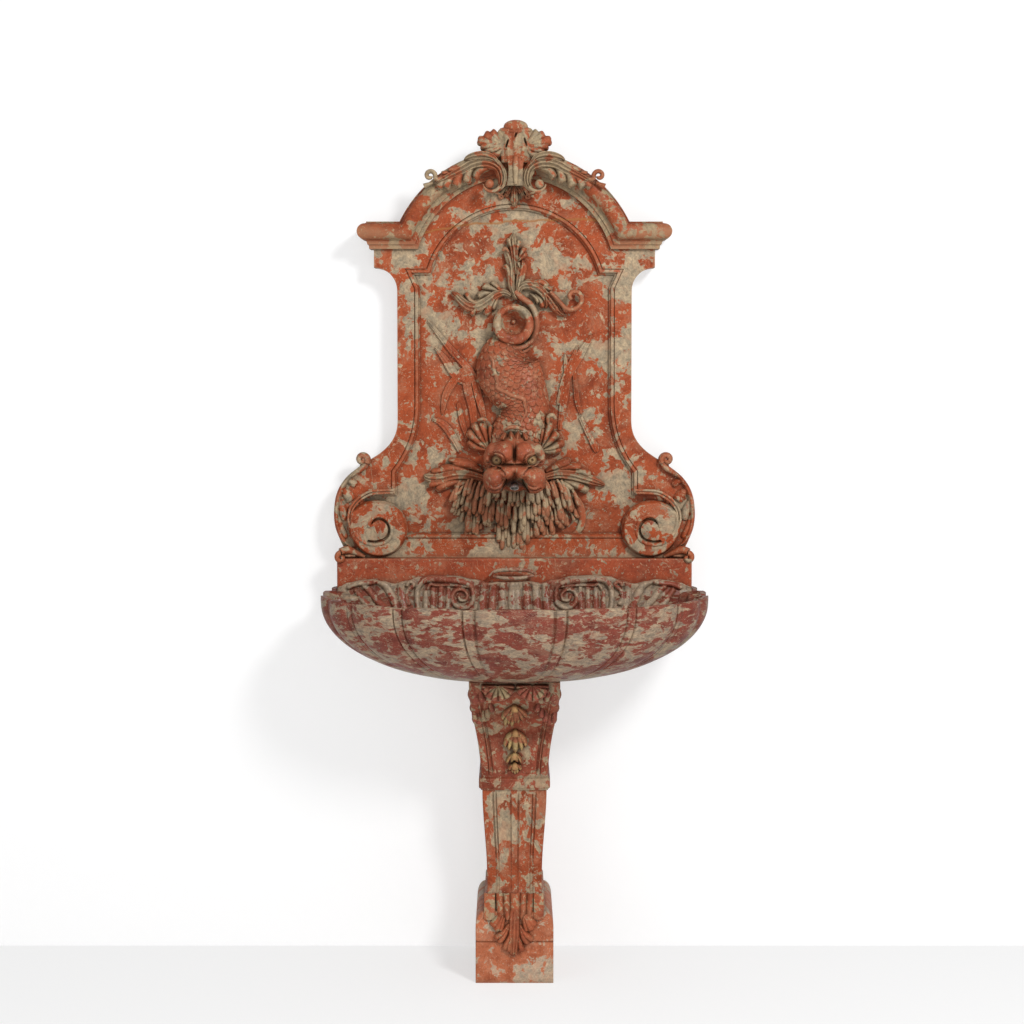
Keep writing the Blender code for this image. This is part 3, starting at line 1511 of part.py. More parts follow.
fin_leaves = [
    dict(
        controls=beside_head(((0.85, 0.50), (1.09, 0.79), (1.30, 1.22), (1.14, 1.62)), HEAD_HALF_WIDTH),
        widths=(0.020, 0.023, 0.014, 0.004),
        height=FIN_DEPTH,
        seat=before_reeds,
        lobes=3,
        count=12,
    ),
    dict(
        controls=beside_head(((0.87, 0.50), (1.19, 0.69), (1.59, 0.79)), HEAD_HALF_WIDTH),
        widths=(0.014, 0.016, 0.003),
        height=0.87 * FIN_DEPTH,
        seat=before_reeds,
        lobes=2,
        count=10,
    ),
]
wing_leaves = [
    dict(
        controls=beside_head(((0.79, -0.08), (0.62, 0.046), (0.94, 0.028)), WING_REACH),
        widths=(0.014, 0.017, 0.012, 0.003),
        height=WING_DEPTH,
        seat=on_panel,
        lobes=4,
        count=12,
    ),
    dict(
        controls=beside_head(((0.79, -0.19), (0.64, -0.092), (1.0, -0.119)), WING_REACH),
        widths=(0.014, 0.018, 0.013, 0.003),
        height=1.1 * WING_DEPTH,
        seat=on_panel,
        lobes=4,
        count=12,
    ),
    dict(
        controls=beside_head(((0.79, -0.32), (0.55, -0.174), (0.83, -0.229)), WING_REACH),
        widths=(0.012, 0.014, 0.010, 0.003),
        height=0.9 * WING_DEPTH,
        seat=on_panel,
        lobes=3,
        count=9,
    ),
]
for side, word in ((-1, "left"), (1, "right")):
    cut(leaf_group(f"fin_{word}", mirrored(fin_leaves, side), WORN_MARBLE), head_room, body_room)
    cut(leaf_group(f"wing_leaf_{word}", mirrored(wing_leaves, side), WORN_MARBLE), head_room)

BEARD_TOP = HEAD_HEIGHT - 0.79 * HEAD_HALF_WIDTH
BEARD_LOW = PLINTH_TOP + 0.006
LEDGE_TOP = PANEL_BOTTOM + FIELD_BOTTOM_LEDGE
BEARD_HANG = BEARD_TOP - LEDGE_TOP
BEARD_SIDE_STRANDS = 5


def before_ledge(x, z):
    """The beard lies in the field, and its longest strand hangs over the ledge below."""
    if z > LEDGE_TOP + 0.034:
        return SEAT_DEPTH
    return PANEL_THICKNESS + GAP


strands = []
strand_pitch = BEARD_HALF_WIDTH / BEARD_SIDE_STRANDS
for i in range(-BEARD_SIDE_STRANDS, BEARD_SIDE_STRANDS + 1):
    x = strand_pitch * i
    top = BEARD_TOP - (0.1 * BEARD_HANG if abs(i) > 2 else 0.0)
    length = BEARD_HANG * (0.87 - 0.033 * abs(i) - 0.116 * (i % 2))
    low = BEARD_LOW if i == 0 else top - length
    strands.append(
        dict(
            controls=[(0.92 * x, top), (x, (top + low) / 2), (1.075 * x, low)],
            widths=(0.60 * strand_pitch, 0.65 * strand_pitch, 0.58 * strand_pitch, 0.004),
            height=BEARD_DEPTH * (1 - 0.08 * abs(i)),
            seat=before_ledge,
            lobes=2,
            lobe_depth=0.15,
            count=8 if i == 0 else 4,
        )
    )
beard = leaf_group("beard", strands, WORN_MARBLE)
cut(beard, head_room)


# Reeds in low relief, as shares of the field's half width and of the rise to the coil
def reed(shares):
    half = REED_HALF_WIDTH
    return dict(
        controls=laid_out(shares, FIELD_HALF_WIDTH, HEAD_HEIGHT, COIL_ABOVE_HEAD),
        widths=(0.6 * half, half, half, 0.25 * half),
        height=REED_DEPTH,
        seat=on_panel,
        count=8,
    )


leaf_group(
    "reeds_left",
    [
        reed(((-0.32, 0.31), (-0.46, 0.65), (-0.64, 0.82), (-0.87, 1.02))),
        reed(((-0.45, 0.60), (-0.59, 0.66), (-0.79, 0.83))),
        reed(((-0.46, 0.64), (-0.59, 0.59), (-0.73, 0.35))),
        reed(((-0.33, 0.34), (-0.52, 0.11), (-0.63, 0.18), (-0.83, 0.32))),
    ],
    RED_MARBLE,
)
leaf_group(
    "reeds_right",
    [
        reed(((0.39, 0.31), (0.46, 0.52), (0.63, 0.72), (0.78, 0.92))),
        reed(((0.40, 0.33), (0.54, 0.39), (0.60, 0.58))),
        reed(((0.40, 0.33), (0.63, 0.31), (0.75, 0.21), (0.84, 0.08))),
    ],
    RED_MARBLE,
)


# Water supply through the panel and the head
hole = SPOUT_RADIUS + UNION_WALL + 0.004
cut(
    back_panel,
    hide_as_cutter(
        cylinder_between(
            "supply_hole",
            place(0.0, -0.02, SPOUT_HEIGHT),
            place(0.0, PANEL_THICKNESS + 0.02, SPOUT_HEIGHT),
            hole,
            12,
        )
    ),
)
supply_points = [place(0.0, 0.0, SPOUT_HEIGHT), place(0.0, SUPPLY_LENGTH, SPOUT_HEIGHT)]
settle(pipe("supply_pipe", supply_points, SPOUT_RADIUS, SPOUT_WALL), LEAD_PIPE)
spout_end = HEAD_REACH - SPOUT_SETBACK
spout_points = [place(0.0, SUPPLY_LENGTH + GAP, SPOUT_HEIGHT), place(0.0, spout_end, SPOUT_HEIGHT)]
settle(pipe("spout_pipe", spout_points, SPOUT_RADIUS, SPOUT_WALL), LEAD_PIPE)
settle(
    hexagon_ring(
        "supply_union_nut",
        place(0.0, SUPPLY_LENGTH - UNION_LENGTH / 2, SPOUT_HEIGHT),
        place(0.0, SUPPLY_LENGTH + UNION_LENGTH / 2, SPOUT_HEIGHT),
        SPOUT_RADIUS + UNION_WALL,
        SPOUT_RADIUS + GAP,
    ),
    BRASS,
)


# Dowels between the stones
centre_depth = 0.45 * SHAFT_WAIST_DEPTH
upright = Vector((0.0, 0.0, DOWEL_HALF_LENGTH))
joint = place(0.0, centre_depth, BASE_HEIGHT + GAP / 2)
dowel_with_sockets("base_dowel", joint - upright, joint + upright, base_block, pedestal_shaft)
joint = place(0.0, centre_depth, SHAFT_TOP + GAP / 2)
dowel_with_sockets("shaft_dowel", joint - upright, joint + upright, pedestal_shaft, pedestal_console)
short = Vector((0.0, 0.0, 0.5 * BASIN_FLOOR))
for side, word in ((-1, "left"), (1, "right")):
    x = side * (chase_half + CONSOLE_TOP_HALF_WIDTH) / 2
    joint = place(x, 0.40 * CONSOLE_TOP_DEPTH, CONSOLE_TOP + GAP / 2)
    dowel_with_sockets(f"basin_dowel_{word}", joint - short, joint + short, pedestal_console, basin)
    x = side * 0.55 * PANEL_WAIST_HALF_WIDTH
    joint = place(x, 0.42 * PANEL_THICKNESS, PLINTH_TOP + GAP / 2)
    tall = Vector((0.0, 0.0, 0.4 * PLINTH_HEIGHT))
    dowel_with_sockets(f"panel_dowel_{word}", joint - tall, joint + tall, plinth_slab, back_panel)
crown = ARCH_CENTRE + ARCH_RADIUS + CORNICE_REBATE
joint = place(0.0, 0.42 * PANEL_THICKNESS, crown)
reach = Vector((0.0, 0.0, 0.6 * (CORNICE_HEIGHT - CORNICE_REBATE)))
dowel_with_sockets("cornice_dowel", joint - 2 * reach, joint + reach, back_panel, arched_cornice)
joint = place(0.0, FIELD_DEPTH, HEAD_HEIGHT + 0.022)
forward = place(0.0, FIELD_DEPTH - 0.030, 0.0) - place(0.0, FIELD_DEPTH, 0.0)
dowel_with_sockets("head_dowel", joint + forward, joint - forward, back_panel, dolphin_head)


# Cramps let into the back, across the joints
def cramp(name, x, level, upper, lower):
    """A flat steel cramp, let in flush across the joint of two stones."""
    half = CRAMP_LENGTH / 2
    sides = (x - CRAMP_WIDTH / 2, x + CRAMP_WIDTH / 2)
    settle(block(name, sides, (0.0, CRAMP_THICKNESS), (level - half, level + half)), STEEL)
    bed = block(
        f"{name}_bed",
        (sides[0] - GAP, sides[1] + GAP),
        (-0.01, CRAMP_THICKNESS + GAP),
        (level - half - GAP, level + half + GAP),
    )
    hide_as_cutter(bed)
    cut(upper, bed)
    cut(lower, bed)


for side, word in ((-1, "left"), (1, "right")):
    cramp(f"panel_cramp_{word}", side * 0.75 * PANEL_WAIST_HALF_WIDTH, PLINTH_TOP, back_panel, plinth_slab)
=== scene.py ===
import math

import bmesh
import bpy
import numpy
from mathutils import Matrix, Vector, noise


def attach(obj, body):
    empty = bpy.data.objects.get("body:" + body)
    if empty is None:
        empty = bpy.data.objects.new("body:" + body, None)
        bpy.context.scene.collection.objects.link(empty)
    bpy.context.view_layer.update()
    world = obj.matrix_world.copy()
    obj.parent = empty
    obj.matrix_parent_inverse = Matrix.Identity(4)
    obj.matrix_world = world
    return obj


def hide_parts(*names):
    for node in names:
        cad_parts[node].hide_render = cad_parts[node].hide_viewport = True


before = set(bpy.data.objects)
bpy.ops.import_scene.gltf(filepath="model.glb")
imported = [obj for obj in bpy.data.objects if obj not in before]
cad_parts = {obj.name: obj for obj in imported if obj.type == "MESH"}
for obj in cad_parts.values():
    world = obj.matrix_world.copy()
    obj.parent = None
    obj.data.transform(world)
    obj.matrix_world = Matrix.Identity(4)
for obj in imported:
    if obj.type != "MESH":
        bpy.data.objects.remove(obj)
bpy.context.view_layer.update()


# Foot block. A square block of red breccia marble that carries the whole foot on the floor.
# Its shoulders are worked round by hand and one line is cut round it below them.
WALL = 0.25
BLOCK_TOP = 0.165
BLOCK_HALF = 0.090
BLOCK_FRONT = 0.295
BLOCK_LINE = 0.097


def place(x, depth, z):
    """The point at x, a depth in front of the wall and a height."""
    return Vector((x, WALL - depth, z))


def wired(tree, kind, inputs, **settings):
    """A shader node with its settings, its inputs given as values or as other nodes' outputs."""
    made = tree.nodes.new(kind)
    for name, value in settings.items():
        setattr(made, name, value)
    for name, value in inputs.items():
        if isinstance(value, bpy.types.NodeSocket):
            tree.links.new(value, made.inputs[name])
        else:
            made.inputs[name].default_value = value
    return made


def new_material(name):
    """A fresh material with its node tree and its main shader."""
    material = bpy.data.materials.new(name)
    material.use_nodes = True
    return material, material.node_tree, material.node_tree.nodes["Principled BSDF"]


def spot_on(tree):
    """Where a point lies on its piece."""
    return wired(tree, "ShaderNodeTexCoord", {}).outputs["Object"]


def stops(tree, factor, *marks):
    """A colour ramp from (position, colour) marks; a number stands for a grey."""
    made = tree.nodes.new("ShaderNodeValToRGB")
    tree.links.new(factor, made.inputs["Fac"])
    ramp = made.color_ramp
    while len(ramp.elements) < len(marks):
        ramp.elements.new(0.5)
    for element, (position, colour) in zip(ramp.elements, marks):
        element.position = position
        element.color = (*colour, 1.0) if isinstance(colour, tuple) else (colour, colour, colour, 1.0)
    return made.outputs["Color"]


def blended(tree, factor, low, high, blend="MIX"):
    """Mixes two colours, each a colour or a node's output."""
    made = tree.nodes.new("ShaderNodeMix")
    made.data_type = "RGBA"
    made.blend_type = blend
    for socket, value in ((made.inputs[0], factor), (made.inputs[6], low), (made.inputs[7], high)):
        if isinstance(value, bpy.types.NodeSocket):
            tree.links.new(value, socket)
        else:
            socket.default_value = (*value, 1.0) if isinstance(value, tuple) else value
    return made.outputs[2]


def counted(tree, operation, first, second=0.0):
    """Reckons with two numbers or outputs."""
    inputs = {0: first, 1: second}
    return wired(tree, "ShaderNodeMath", inputs, operation=operation).outputs[0]


def times(tree, first, second):
    return counted(tree, "MULTIPLY", first, second)


def marble(name, red, deep, cream, grey, cover, stretch, roughness, patina_shade_and_highlight, coat=0.0, crack=False):
    """Breccia marble: a red ground with washes, cream and grey patches, veins and flecks.

    cover is the share of pale patches, stretch squeezes the pattern along x, y and z, and patina
    sets the painted shade and dirt in the hollows and the painted highlight and wear on the arrises.
    """
    material, tree, shader = new_material(name)
    where = spot_on(tree)
    squeezed = wired(tree, "ShaderNodeMapping", {"Vector": where, "Scale": stretch}).outputs[0]
    warped = squeezed
    for scale, reach in ((12.0, 0.055), (60.0, 0.010)):
        wander = {"Vector": squeezed, "Scale": scale, "Detail": 3.0}
        wander = {0: wired(tree, "ShaderNodeTexNoise", wander).outputs["Color"], 1: (0.5, 0.5, 0.5)}
        shift = wired(tree, "ShaderNodeVectorMath", wander, operation="SUBTRACT").outputs[0]
        shift = wired(tree, "ShaderNodeVectorMath", {0: shift, "Scale": reach}, operation="SCALE").outputs[0]
        warped = wired(tree, "ShaderNodeVectorMath", {0: warped, 1: shift}, operation="ADD").outputs[0]

    def clouds(scale, detail, rough, vector=warped, distortion=0.0):
        inputs = {
            "Vector": vector, "Scale": scale, "Detail": detail, "Roughness": rough, "Distortion": distortion
        }
        return wired(tree, "ShaderNodeTexNoise", inputs).outputs["Fac"]

    field = times(tree, clouds(10.0, 5.0, 0.55), 0.60)
    field = counted(tree, "ADD", field, times(tree, clouds(31.0, 4.0, 0.60), 0.40))
    edge = 0.5 + (0.45 - cover) * 0.24
    patch = stops(tree, field, (edge, 0.0), (edge + 0.009, 0.85), (edge + 0.040, 1.0))
    crumbs = stops(tree, clouds(52.0, 4.0, 0.60), (0.615, 0.0), (0.632, 0.80))
    patch = counted(tree, "MAXIMUM", patch, crumbs)
    wash = stops(tree, clouds(17.0, 6.0, 0.70), (0.50, 0.0), (0.70, 0.60))
    rim = stops(tree, field, (edge - 0.030, 0.0), (edge - 0.004, 1.0), (edge + 0.030, 0.0))
    mottle = clouds(46.0, 6.0, 0.75)
    half_way = tuple((a + b) / 2 for a, b in zip(grey, cream))
    pale = stops(tree, mottle, (0.37, grey), (0.51, half_way), (0.64, cream))
    core = stops(tree, clouds(150.0, 4.0, 0.7), (0.36, 0.62), (0.58, 1.06))
    pale = blended(tree, 0.85, pale, core, "MULTIPLY")
    stain = stops(tree, clouds(21.0, 4.0, 0.6), (0.54, 0.0), (0.66, 0.50))
    pale = blended(tree, stain, pale, tuple(0.5 * a + 0.5 * b for a, b in zip(cream, red)))
    light_red = tuple(1.15 * c for c in red)
    ground = stops(tree, clouds(15.0, 5.0, 0.62), (0.34, deep), (0.52, red), (0.72, light_red))
    ground = blended(tree, wash, ground, tuple(0.62 * a + 0.38 * b for a, b in zip(red, cream)))
    grain = stops(tree, clouds(170.0, 4.0, 0.75), (0.33, 0.72), (0.62, 1.08))
    ground = blended(tree, 1.0, ground, grain, "MULTIPLY")
    line = counted(tree, "ABSOLUTE", counted(tree, "SUBTRACT", clouds(19.0, 8.0, 0.62, distortion=0.4), 0.5))
    vein = stops(tree, line, (0.0, 1.0), (0.005, 0.45), (0.012, 0.0))
    broken = stops(tree, clouds(12.0, 3.0, 0.5), (0.48, 0.0), (0.58, 1.0))
    vein = times(tree, vein, broken)
    fleck = stops(tree, clouds(190.0, 2.0, 0.5), (0.650, 0.0), (0.70, 0.7))
    ground = blended(tree, times(tree, vein, 0.65), ground, cream)
    ground = blended(tree, fleck, ground, tuple(0.8 * a + 0.2 * b for a, b in zip(cream, red)))
    ground = blended(tree, times(tree, rim, 0.35), ground, tuple(1.25 * c for c in red))
    stone = blended(tree, patch, ground, pale)
    # Hollows and creases are darkened by occlusion and by concave bends: painted shade, with some dirt.
    hollow = wired(tree, "ShaderNodeAmbientOcclusion", {"Distance": 0.016}, samples=6).outputs["AO"]
    shade_and_dirt = stops(tree, hollow, (0.20, 1.0), (0.72, 0.35), (0.96, 0.0))
    bend = wired(tree, "ShaderNodeNewGeometry", {}).outputs["Pointiness"]
    cut = stops(tree, bend, (0.390, 0.80), (0.475, 0.0))
    shade_and_dirt = times(tree, counted(tree, "MAXIMUM", shade_and_dirt, cut), patina_shade_and_highlight)
    stone = blended(tree, shade_and_dirt, stone, (0.060, 0.026, 0.012))
    # Convex arrises are painted paler: painted highlight, with some rubbed wear.
    highlight_and_wear = stops(tree, bend, (0.52, 0.0), (0.62, 1.0))
    highlight_and_wear = times(tree, highlight_and_wear, times(tree, 0.7, patina_shade_and_highlight))
    stone = blended(tree, highlight_and_wear, stone, tuple(0.75 * a + 0.25 * b for a, b in zip(cream, red)))
    if crack:
        spot = wired(tree, "ShaderNodeSeparateXYZ", {"Vector": where})
        fall = times(tree, counted(tree, "SUBTRACT", 0.21, spot.outputs["X"]), 2.4)
        fall = times(tree, counted(tree, "POWER", counted(tree, "MAXIMUM", fall, 0.0), 3.0), 0.029)
        level = counted(tree, "ADD", spot.outputs["Z"], fall)
        level = counted(tree, "ADD", level, times(tree, clouds(26.0, 4.0, 0.6, where), 0.016))
        near = counted(tree, "ABSOLUTE", counted(tree, "SUBTRACT", level, CRACK_LEVEL))
        stone = blended(tree, stops(tree, near, (0.0009, 0.9), (0.0024, 0.0)), stone, (0.30, 0.12, 0.035))
    tree.links.new(stone, shader.inputs["Base Color"])
    shine = stops(tree, mottle, (0.3, roughness - 0.07), (0.7, roughness + 0.10))
    tree.links.new(shine, shader.inputs["Roughness"])
    shader.inputs["Specular IOR Level"].default_value = 0.12
    shader.inputs["Coat Weight"].default_value = coat
    shader.inputs["Coat Roughness"].default_value = 0.18
    pits = times(tree, clouds(180.0, 4.0, 0.7), 0.6)
    pits = counted(tree, "ADD", pits, times(tree, line, 0.9))
    pits = counted(tree, "ADD", pits, times(tree, patch, 0.15))
    bump = {"Height": pits, "Strength": 0.30 + 0.3 * patina_shade_and_highlight, "Distance": 0.0012}
    bump = wired(tree, "ShaderNodeBump", bump)
    tree.links.new(bump.outputs[0], shader.inputs["Normal"])
    return material


CRACK_LEVEL = 1.778
CREAM = (0.49, 0.362, 0.225)
GREY = (0.250, 0.205, 0.142)
block_marble = marble(
    "block_marble", (0.420, 0.130, 0.060), (0.31, 0.082, 0.036), (0.54, 0.395, 0.270), (0.33, 0.262, 0.190),
    cover=0.36, stretch=(1.5, 1.5, 1.4), roughness=0.42, patina_shade_and_highlight=0.60,
)


def skin(bm, columns, rows, spot):
    """A grid whose points go where spot(column, row) says; edges that meet are joined."""
    made = bmesh.ops.create_grid(bm, x_segments=columns, y_segments=rows, size=0.5)
    for vert in made["verts"]:
        column, row = round((vert.co.x + 0.5) * columns), round((vert.co.y + 0.5) * rows)
        vert.co = spot(column, row)


def carved(name, bm, material, slot, *nodes, body="root", crisp=None):
    """Makes the finished piece, puts it on its body and lets it stand for its CAD nodes."""
    bmesh.ops.remove_doubles(bm, verts=bm.verts, dist=0.00003)
    bmesh.ops.dissolve_degenerate(bm, edges=bm.edges, dist=0.00001)
    bmesh.ops.recalc_face_normals(bm, faces=bm.faces)
    mesh = bpy.data.meshes.new(name)
    bm.to_mesh(mesh)
    bm.free()
    mesh.shade_smooth()
    if crisp:
        mesh.set_sharp_from_angle(angle=math.radians(crisp))
    piece = bpy.data.objects.new(name, mesh)
    bpy.context.scene.collection.objects.link(piece)
    mesh.materials.append(material)
    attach(piece, body)
    if nodes:
        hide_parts(*nodes)


def column_outline(half, front, corner, across, around=5, beside=10):
    """Points of a rounded rectangle against the wall: (x, depth, share across the front or None)."""
    face = []
    for i in range(across + 1):
        share = 2 * i / across - 1
        face.append(((half - corner) * share, front, share))
    right = []
    for i in range(1, around + 1):
        bend = math.radians(90 - 90 * i / around)
        right.append((half - corner + corner * math.cos(bend), front - corner + corner * math.sin(bend)))
    for i in range(1, beside + 1):
        right.append((half, (front - corner) * (1 - i / beside)))
    left = [(-x, depth) for x, depth in reversed(right)]
    return face + [(*point, None) for point in right + left]


def column(bm, levels, half_at, front_at, corner=0.004, across=60, relief=None, beside=12):
    """A shaft of stone from level to level; relief(share, z) is what is cut from its front."""
    rings = []
    for z in levels:
        ring = []
        for x, depth, share in column_outline(half_at(z), front_at(z), corner, across, beside=beside):
            if share is not None and relief:
                depth += relief(share, z)
            ring.append(place(x, depth, z))
        rings.append(ring)
    count = len(rings[0])

    def spot(i, j):
        if j in (0, len(rings) + 1):
            ring = rings[0 if j == 0 else -1]
            return sum(ring, Vector()) / count
        return rings[j - 1][i % count]

    skin(bm, count, len(rings) + 1, spot)


def stations(low, high, count):
    """Values from low to high in count equal steps."""
    return [low + (high - low) * i / count for i in range(count + 1)]


def block_half(z):
    if abs(z - BLOCK_LINE) < 0.0011:
        return BLOCK_HALF - 0.0022
    rise = max(0.0, z - (BLOCK_TOP - 0.034)) / 0.034
    return BLOCK_HALF - 0.020 * (1 - math.sqrt(max(0.0, 1 - rise**2)))


def block_front(z):
    return BLOCK_FRONT - (BLOCK_HALF - block_half(z))


block_levels = stations(0.0, BLOCK_LINE - 0.002, 10) + stations(BLOCK_LINE - 0.001, BLOCK_LINE + 0.001, 2)
block_levels += stations(BLOCK_LINE + 0.002, BLOCK_TOP - 0.034, 5)
block_levels += [BLOCK_TOP - 0.034 + 0.034 * math.sin(math.radians(a)) for a in stations(9, 90, 9)]
block = bmesh.new()
column(block, block_levels, block_half, block_front, corner=0.003, across=40)
carved("foot_block", block, block_marble, "red_marble", "base_block", crisp=40)


# Lower shaft. A tapering post of the same marble with flutes cut down its front, which kicks
# forward at its foot; a steel dowel holds it on the block.
SHAFT_TOP = 0.430


def mm(value):
    """A number or nested rows of numbers, turned from millimetres into metres."""
    return tuple(mm(part) for part in value) if isinstance(value, tuple) else value / 1000


def smooth_between(table, value):
    """Reads a value from a table of (position, value) rows, eased between its rows."""
    if value <= table[0][0]:
        return table[0][1]
    for (a, first), (b, second) in zip(table, table[1:]):
        if value <= b:
            share = (value - a) / (b - a)
            return first + (second - first) * share * share * (3 - 2 * share)
    return table[-1][1]


SHAFT_HALF = ((0.165, 0.070), (0.186, 0.070), (0.200, 0.0635), (0.430, 0.0755))
SHAFT_DEPTH = mm(((165, 272), (192, 253), (276, 178), (324, 178), (430, 195)))


def shaft_half(z):
    return smooth_between(SHAFT_HALF, z)


def shaft_front(z):
    return smooth_between(SHAFT_DEPTH, z)


def groove(x, at, width, depth):
    """A rounded cut across a line, deepest at its middle."""
    share = abs(x - at) / width
    return -depth * math.sqrt(1 - share * share) if share < 1 else 0.0


def fade(value, low, high, soft):
    """One between low and high, falling to nought over a short way outside them."""
    outside = max(low - value, value - high, 0.0)
    return max(0.0, 1.0 - outside / soft)


def shaft_relief(share, z):
    """Flutes down the front: cut lines with a shallow hollow between them."""
    x = share * shaft_half(z)
    on = fade(z, 0.205, 0.418, 0.010)
    cut = 0.0
    for at, width in ((0.70, 0.0022), (0.60, 0.0018), (0.13, 0.0022)):
        cut += groove(abs(share), at, width / shaft_half(z), 0.0030)
    swell = 0.0035 * abs(math.sin(math.pi * (abs(share) - 0.13) / 0.47)) if 0.13 < abs(share) < 0.60 else 0.0
    return on * (cut - swell) - (0.0006 if abs(x) < 0.008 else 0.0)


foot_marble = marble(
    "shaft_marble", (0.315, 0.070, 0.028), (0.18, 0.038, 0.015), CREAM, GREY,
    cover=0.38, stretch=(1.5, 1.5, 1.0), roughness=0.42, patina_shade_and_highlight=0.70,
)
shaft = bmesh.new()
column(
    shaft, stations(0.1653, SHAFT_TOP, 110), shaft_half, shaft_front, corner=0.004, across=150,
    relief=shaft_relief,
)
carved("fluted_shaft", shaft, foot_marble, "red_marble", "pedestal_shaft", crisp=50)


# Console. The upper post swells forward to carry the basin; a sunk panel with a moulded edge
# fills its front and a plain band closes it below. The waste pipe runs in a chase behind.
CONSOLE_LOW = 0.4303
CONSOLE_TOP = 0.700
BAND_TOP = 0.463
CONSOLE_HALF = ((BAND_TOP, 0.0785), (CONSOLE_TOP, 0.104))
CONSOLE_DEPTH = ((BAND_TOP, 0.199), (BAND_TOP + 0.071, 0.213), (CONSOLE_TOP, 0.335))


def console_half(z):
    if z < BAND_TOP:
        return 0.0785 + 0.005 * fade(z, CONSOLE_LOW + 0.006, BAND_TOP - 0.006, 0.004)
    return smooth_between(CONSOLE_HALF, z)


def console_front(z):
    if z < BAND_TOP:
        return 0.199 + 0.005 * fade(z, CONSOLE_LOW + 0.006, BAND_TOP - 0.006, 0.004)
    return smooth_between(CONSOLE_DEPTH, z)


def console_relief(share, z):
    """The front's sunk panel and the two lines cut round it."""
    if z < BAND_TOP + 0.004:
        return 0.0
    foot = BAND_TOP + 0.010 + 0.006 * math.cos(2.5 * math.pi * share) * fade(abs(share), 0.0, 0.6, 0.1)
    edge = console_half(z) * (1 - abs(share))
    inside = min(1.0, max(0.0, (edge - 0.0190) / 0.0015)) * min(1.0, max(0.0, (z - foot) / 0.002))
    lines = groove(edge, 0.0150, 0.0013, 0.0026) + groove(edge, 0.0240, 0.0016, 0.0022)
    return lines * fade(z, foot, 0.64, 0.02) - 0.0045 * inside * fade(z, 0.4, 0.660, 0.012)


# Its colours are darker than the shaft's to stand for the shade under the basin: painted shade.
console_marble = marble(
    "console_marble", (0.262, 0.060, 0.032), (0.150, 0.032, 0.016), (0.43, 0.315, 0.190),
    (0.24, 0.190, 0.125),
    cover=0.40, stretch=(1.5, 1.5, 1.1), roughness=0.40, patina_shade_and_highlight=0.80,
)
console = bmesh.new()
console_levels = stations(CONSOLE_LOW, CONSOLE_LOW + 0.008, 3)
console_levels += stations(CONSOLE_LOW + 0.012, BAND_TOP - 0.009, 3)
console_levels += stations(BAND_TOP - 0.006, BAND_TOP + 0.002, 4)
console_levels += stations(BAND_TOP + 0.004, CONSOLE_TOP, 100) + [CONSOLE_TOP + 0.006]
column(console, console_levels, console_half, console_front, corner=0.004, across=150, relief=console_relief)
carved("console_post", console, console_marble, "red_marble", "pedestal_console", crisp=50)


# Leaf on the foot. An acanthus leaf carved from the same marble lies over the shaft's foot and
# the block: a fluted middle, three lobes curling out each side and a drooping tip.
def threaded(rows, count):
    """A smooth line through rows of numbers, with count steps from row to row."""
    ends = [rows[0], *rows, rows[-1]]
    line = []
    for a, b, c, d in zip(ends, ends[1:], ends[2:], ends[3:]):
        for step in range(count):
            t = step / count
            line.append(tuple(
                0.5 * (2 * q + (r - p) * t + (2 * p - 5 * q + 4 * r - s) * t * t
                       + (3 * q - p - 3 * r + s) * t**3)
                for p, q, r, s in zip(a, b, c, d)
            ))
    return line + [tuple(rows[-1])]


def leaf(bm, line, lobes, notch=0.42, lean=0.6, across=34, flutes=1.5, edge=0.45):
    """An acanthus leaf along rows of (x, z, half width, rise, seat depth).

    It has lobes on each side with notches between them, swept towards the tip by lean, rounded
    ridges that run with it, an edge as high as its share of the rise, and a flat back.
    """
    last = len(line) - 1

    def spot(i, j):
        j = min(max(j, 0), last)
        x, z, half, rise, seat = line[j]
        before, after = line[max(j - 1, 0)], line[min(j + 1, last)]
        ahead = Vector((after[0] - before[0], 0.0, after[1] - before[1])).normalized()
        side = Vector((ahead.z, 0.0, -ahead.x))
        a = -1 + 2 * min(max(i - 1, 0), across) / across
        s = abs(a)
        t = (lobes * j / last) % 1.0 - 0.5
        tongue = math.cos(math.pi * t) ** 0.6
        width = half * (1 - notch * (1 - tongue) * s**1.5)
        push = lean * half * s * s * (0.6 + 0.4 * tongue)
        spine = place(x, seat, z) + ahead * push + side * a * width
        if i in (0, across + 2, across + 3):
            return spine + Vector((0.0, 0.002, 0.0))
        ridge = 0.5 + 0.5 * math.cos(2 * math.pi * flutes * s)
        swell = (1 - (1 - edge) * s**2.4) * (0.78 + 0.22 * ridge**0.7)
        swell *= 1 - 0.40 * (1 - tongue) ** 2 * s
        return spine - Vector((0.0, rise * swell, 0.0))

    skin(bm, across + 3, last, spot)


def finger(bm, root, mid, tip, wide, rise, seat):
    """One rounded lobe of an acanthus leaf, from (x, z) at its root over its middle to its tip."""
    near = [(3 * t + m) / 4 for m, t in zip(mid, tip)]
    rows = []
    for spot, width, height in ((root, 0.5, 0.7), (mid, 1.0, 1.0), (near, 0.95, 0.95), (tip, 0.35, 0.6)):
        rows.append((*spot, width * wide, height * rise, seat))
    leaf(bm, threaded(rows, 7), 1, notch=0.0, lean=0.35, across=20, flutes=0.0, edge=0.42)


def turned(hand, rows):
    """Rows with their x turned to the left (-1) or the right (1)."""
    return [(hand * row[0], *row[1:]) for row in rows]


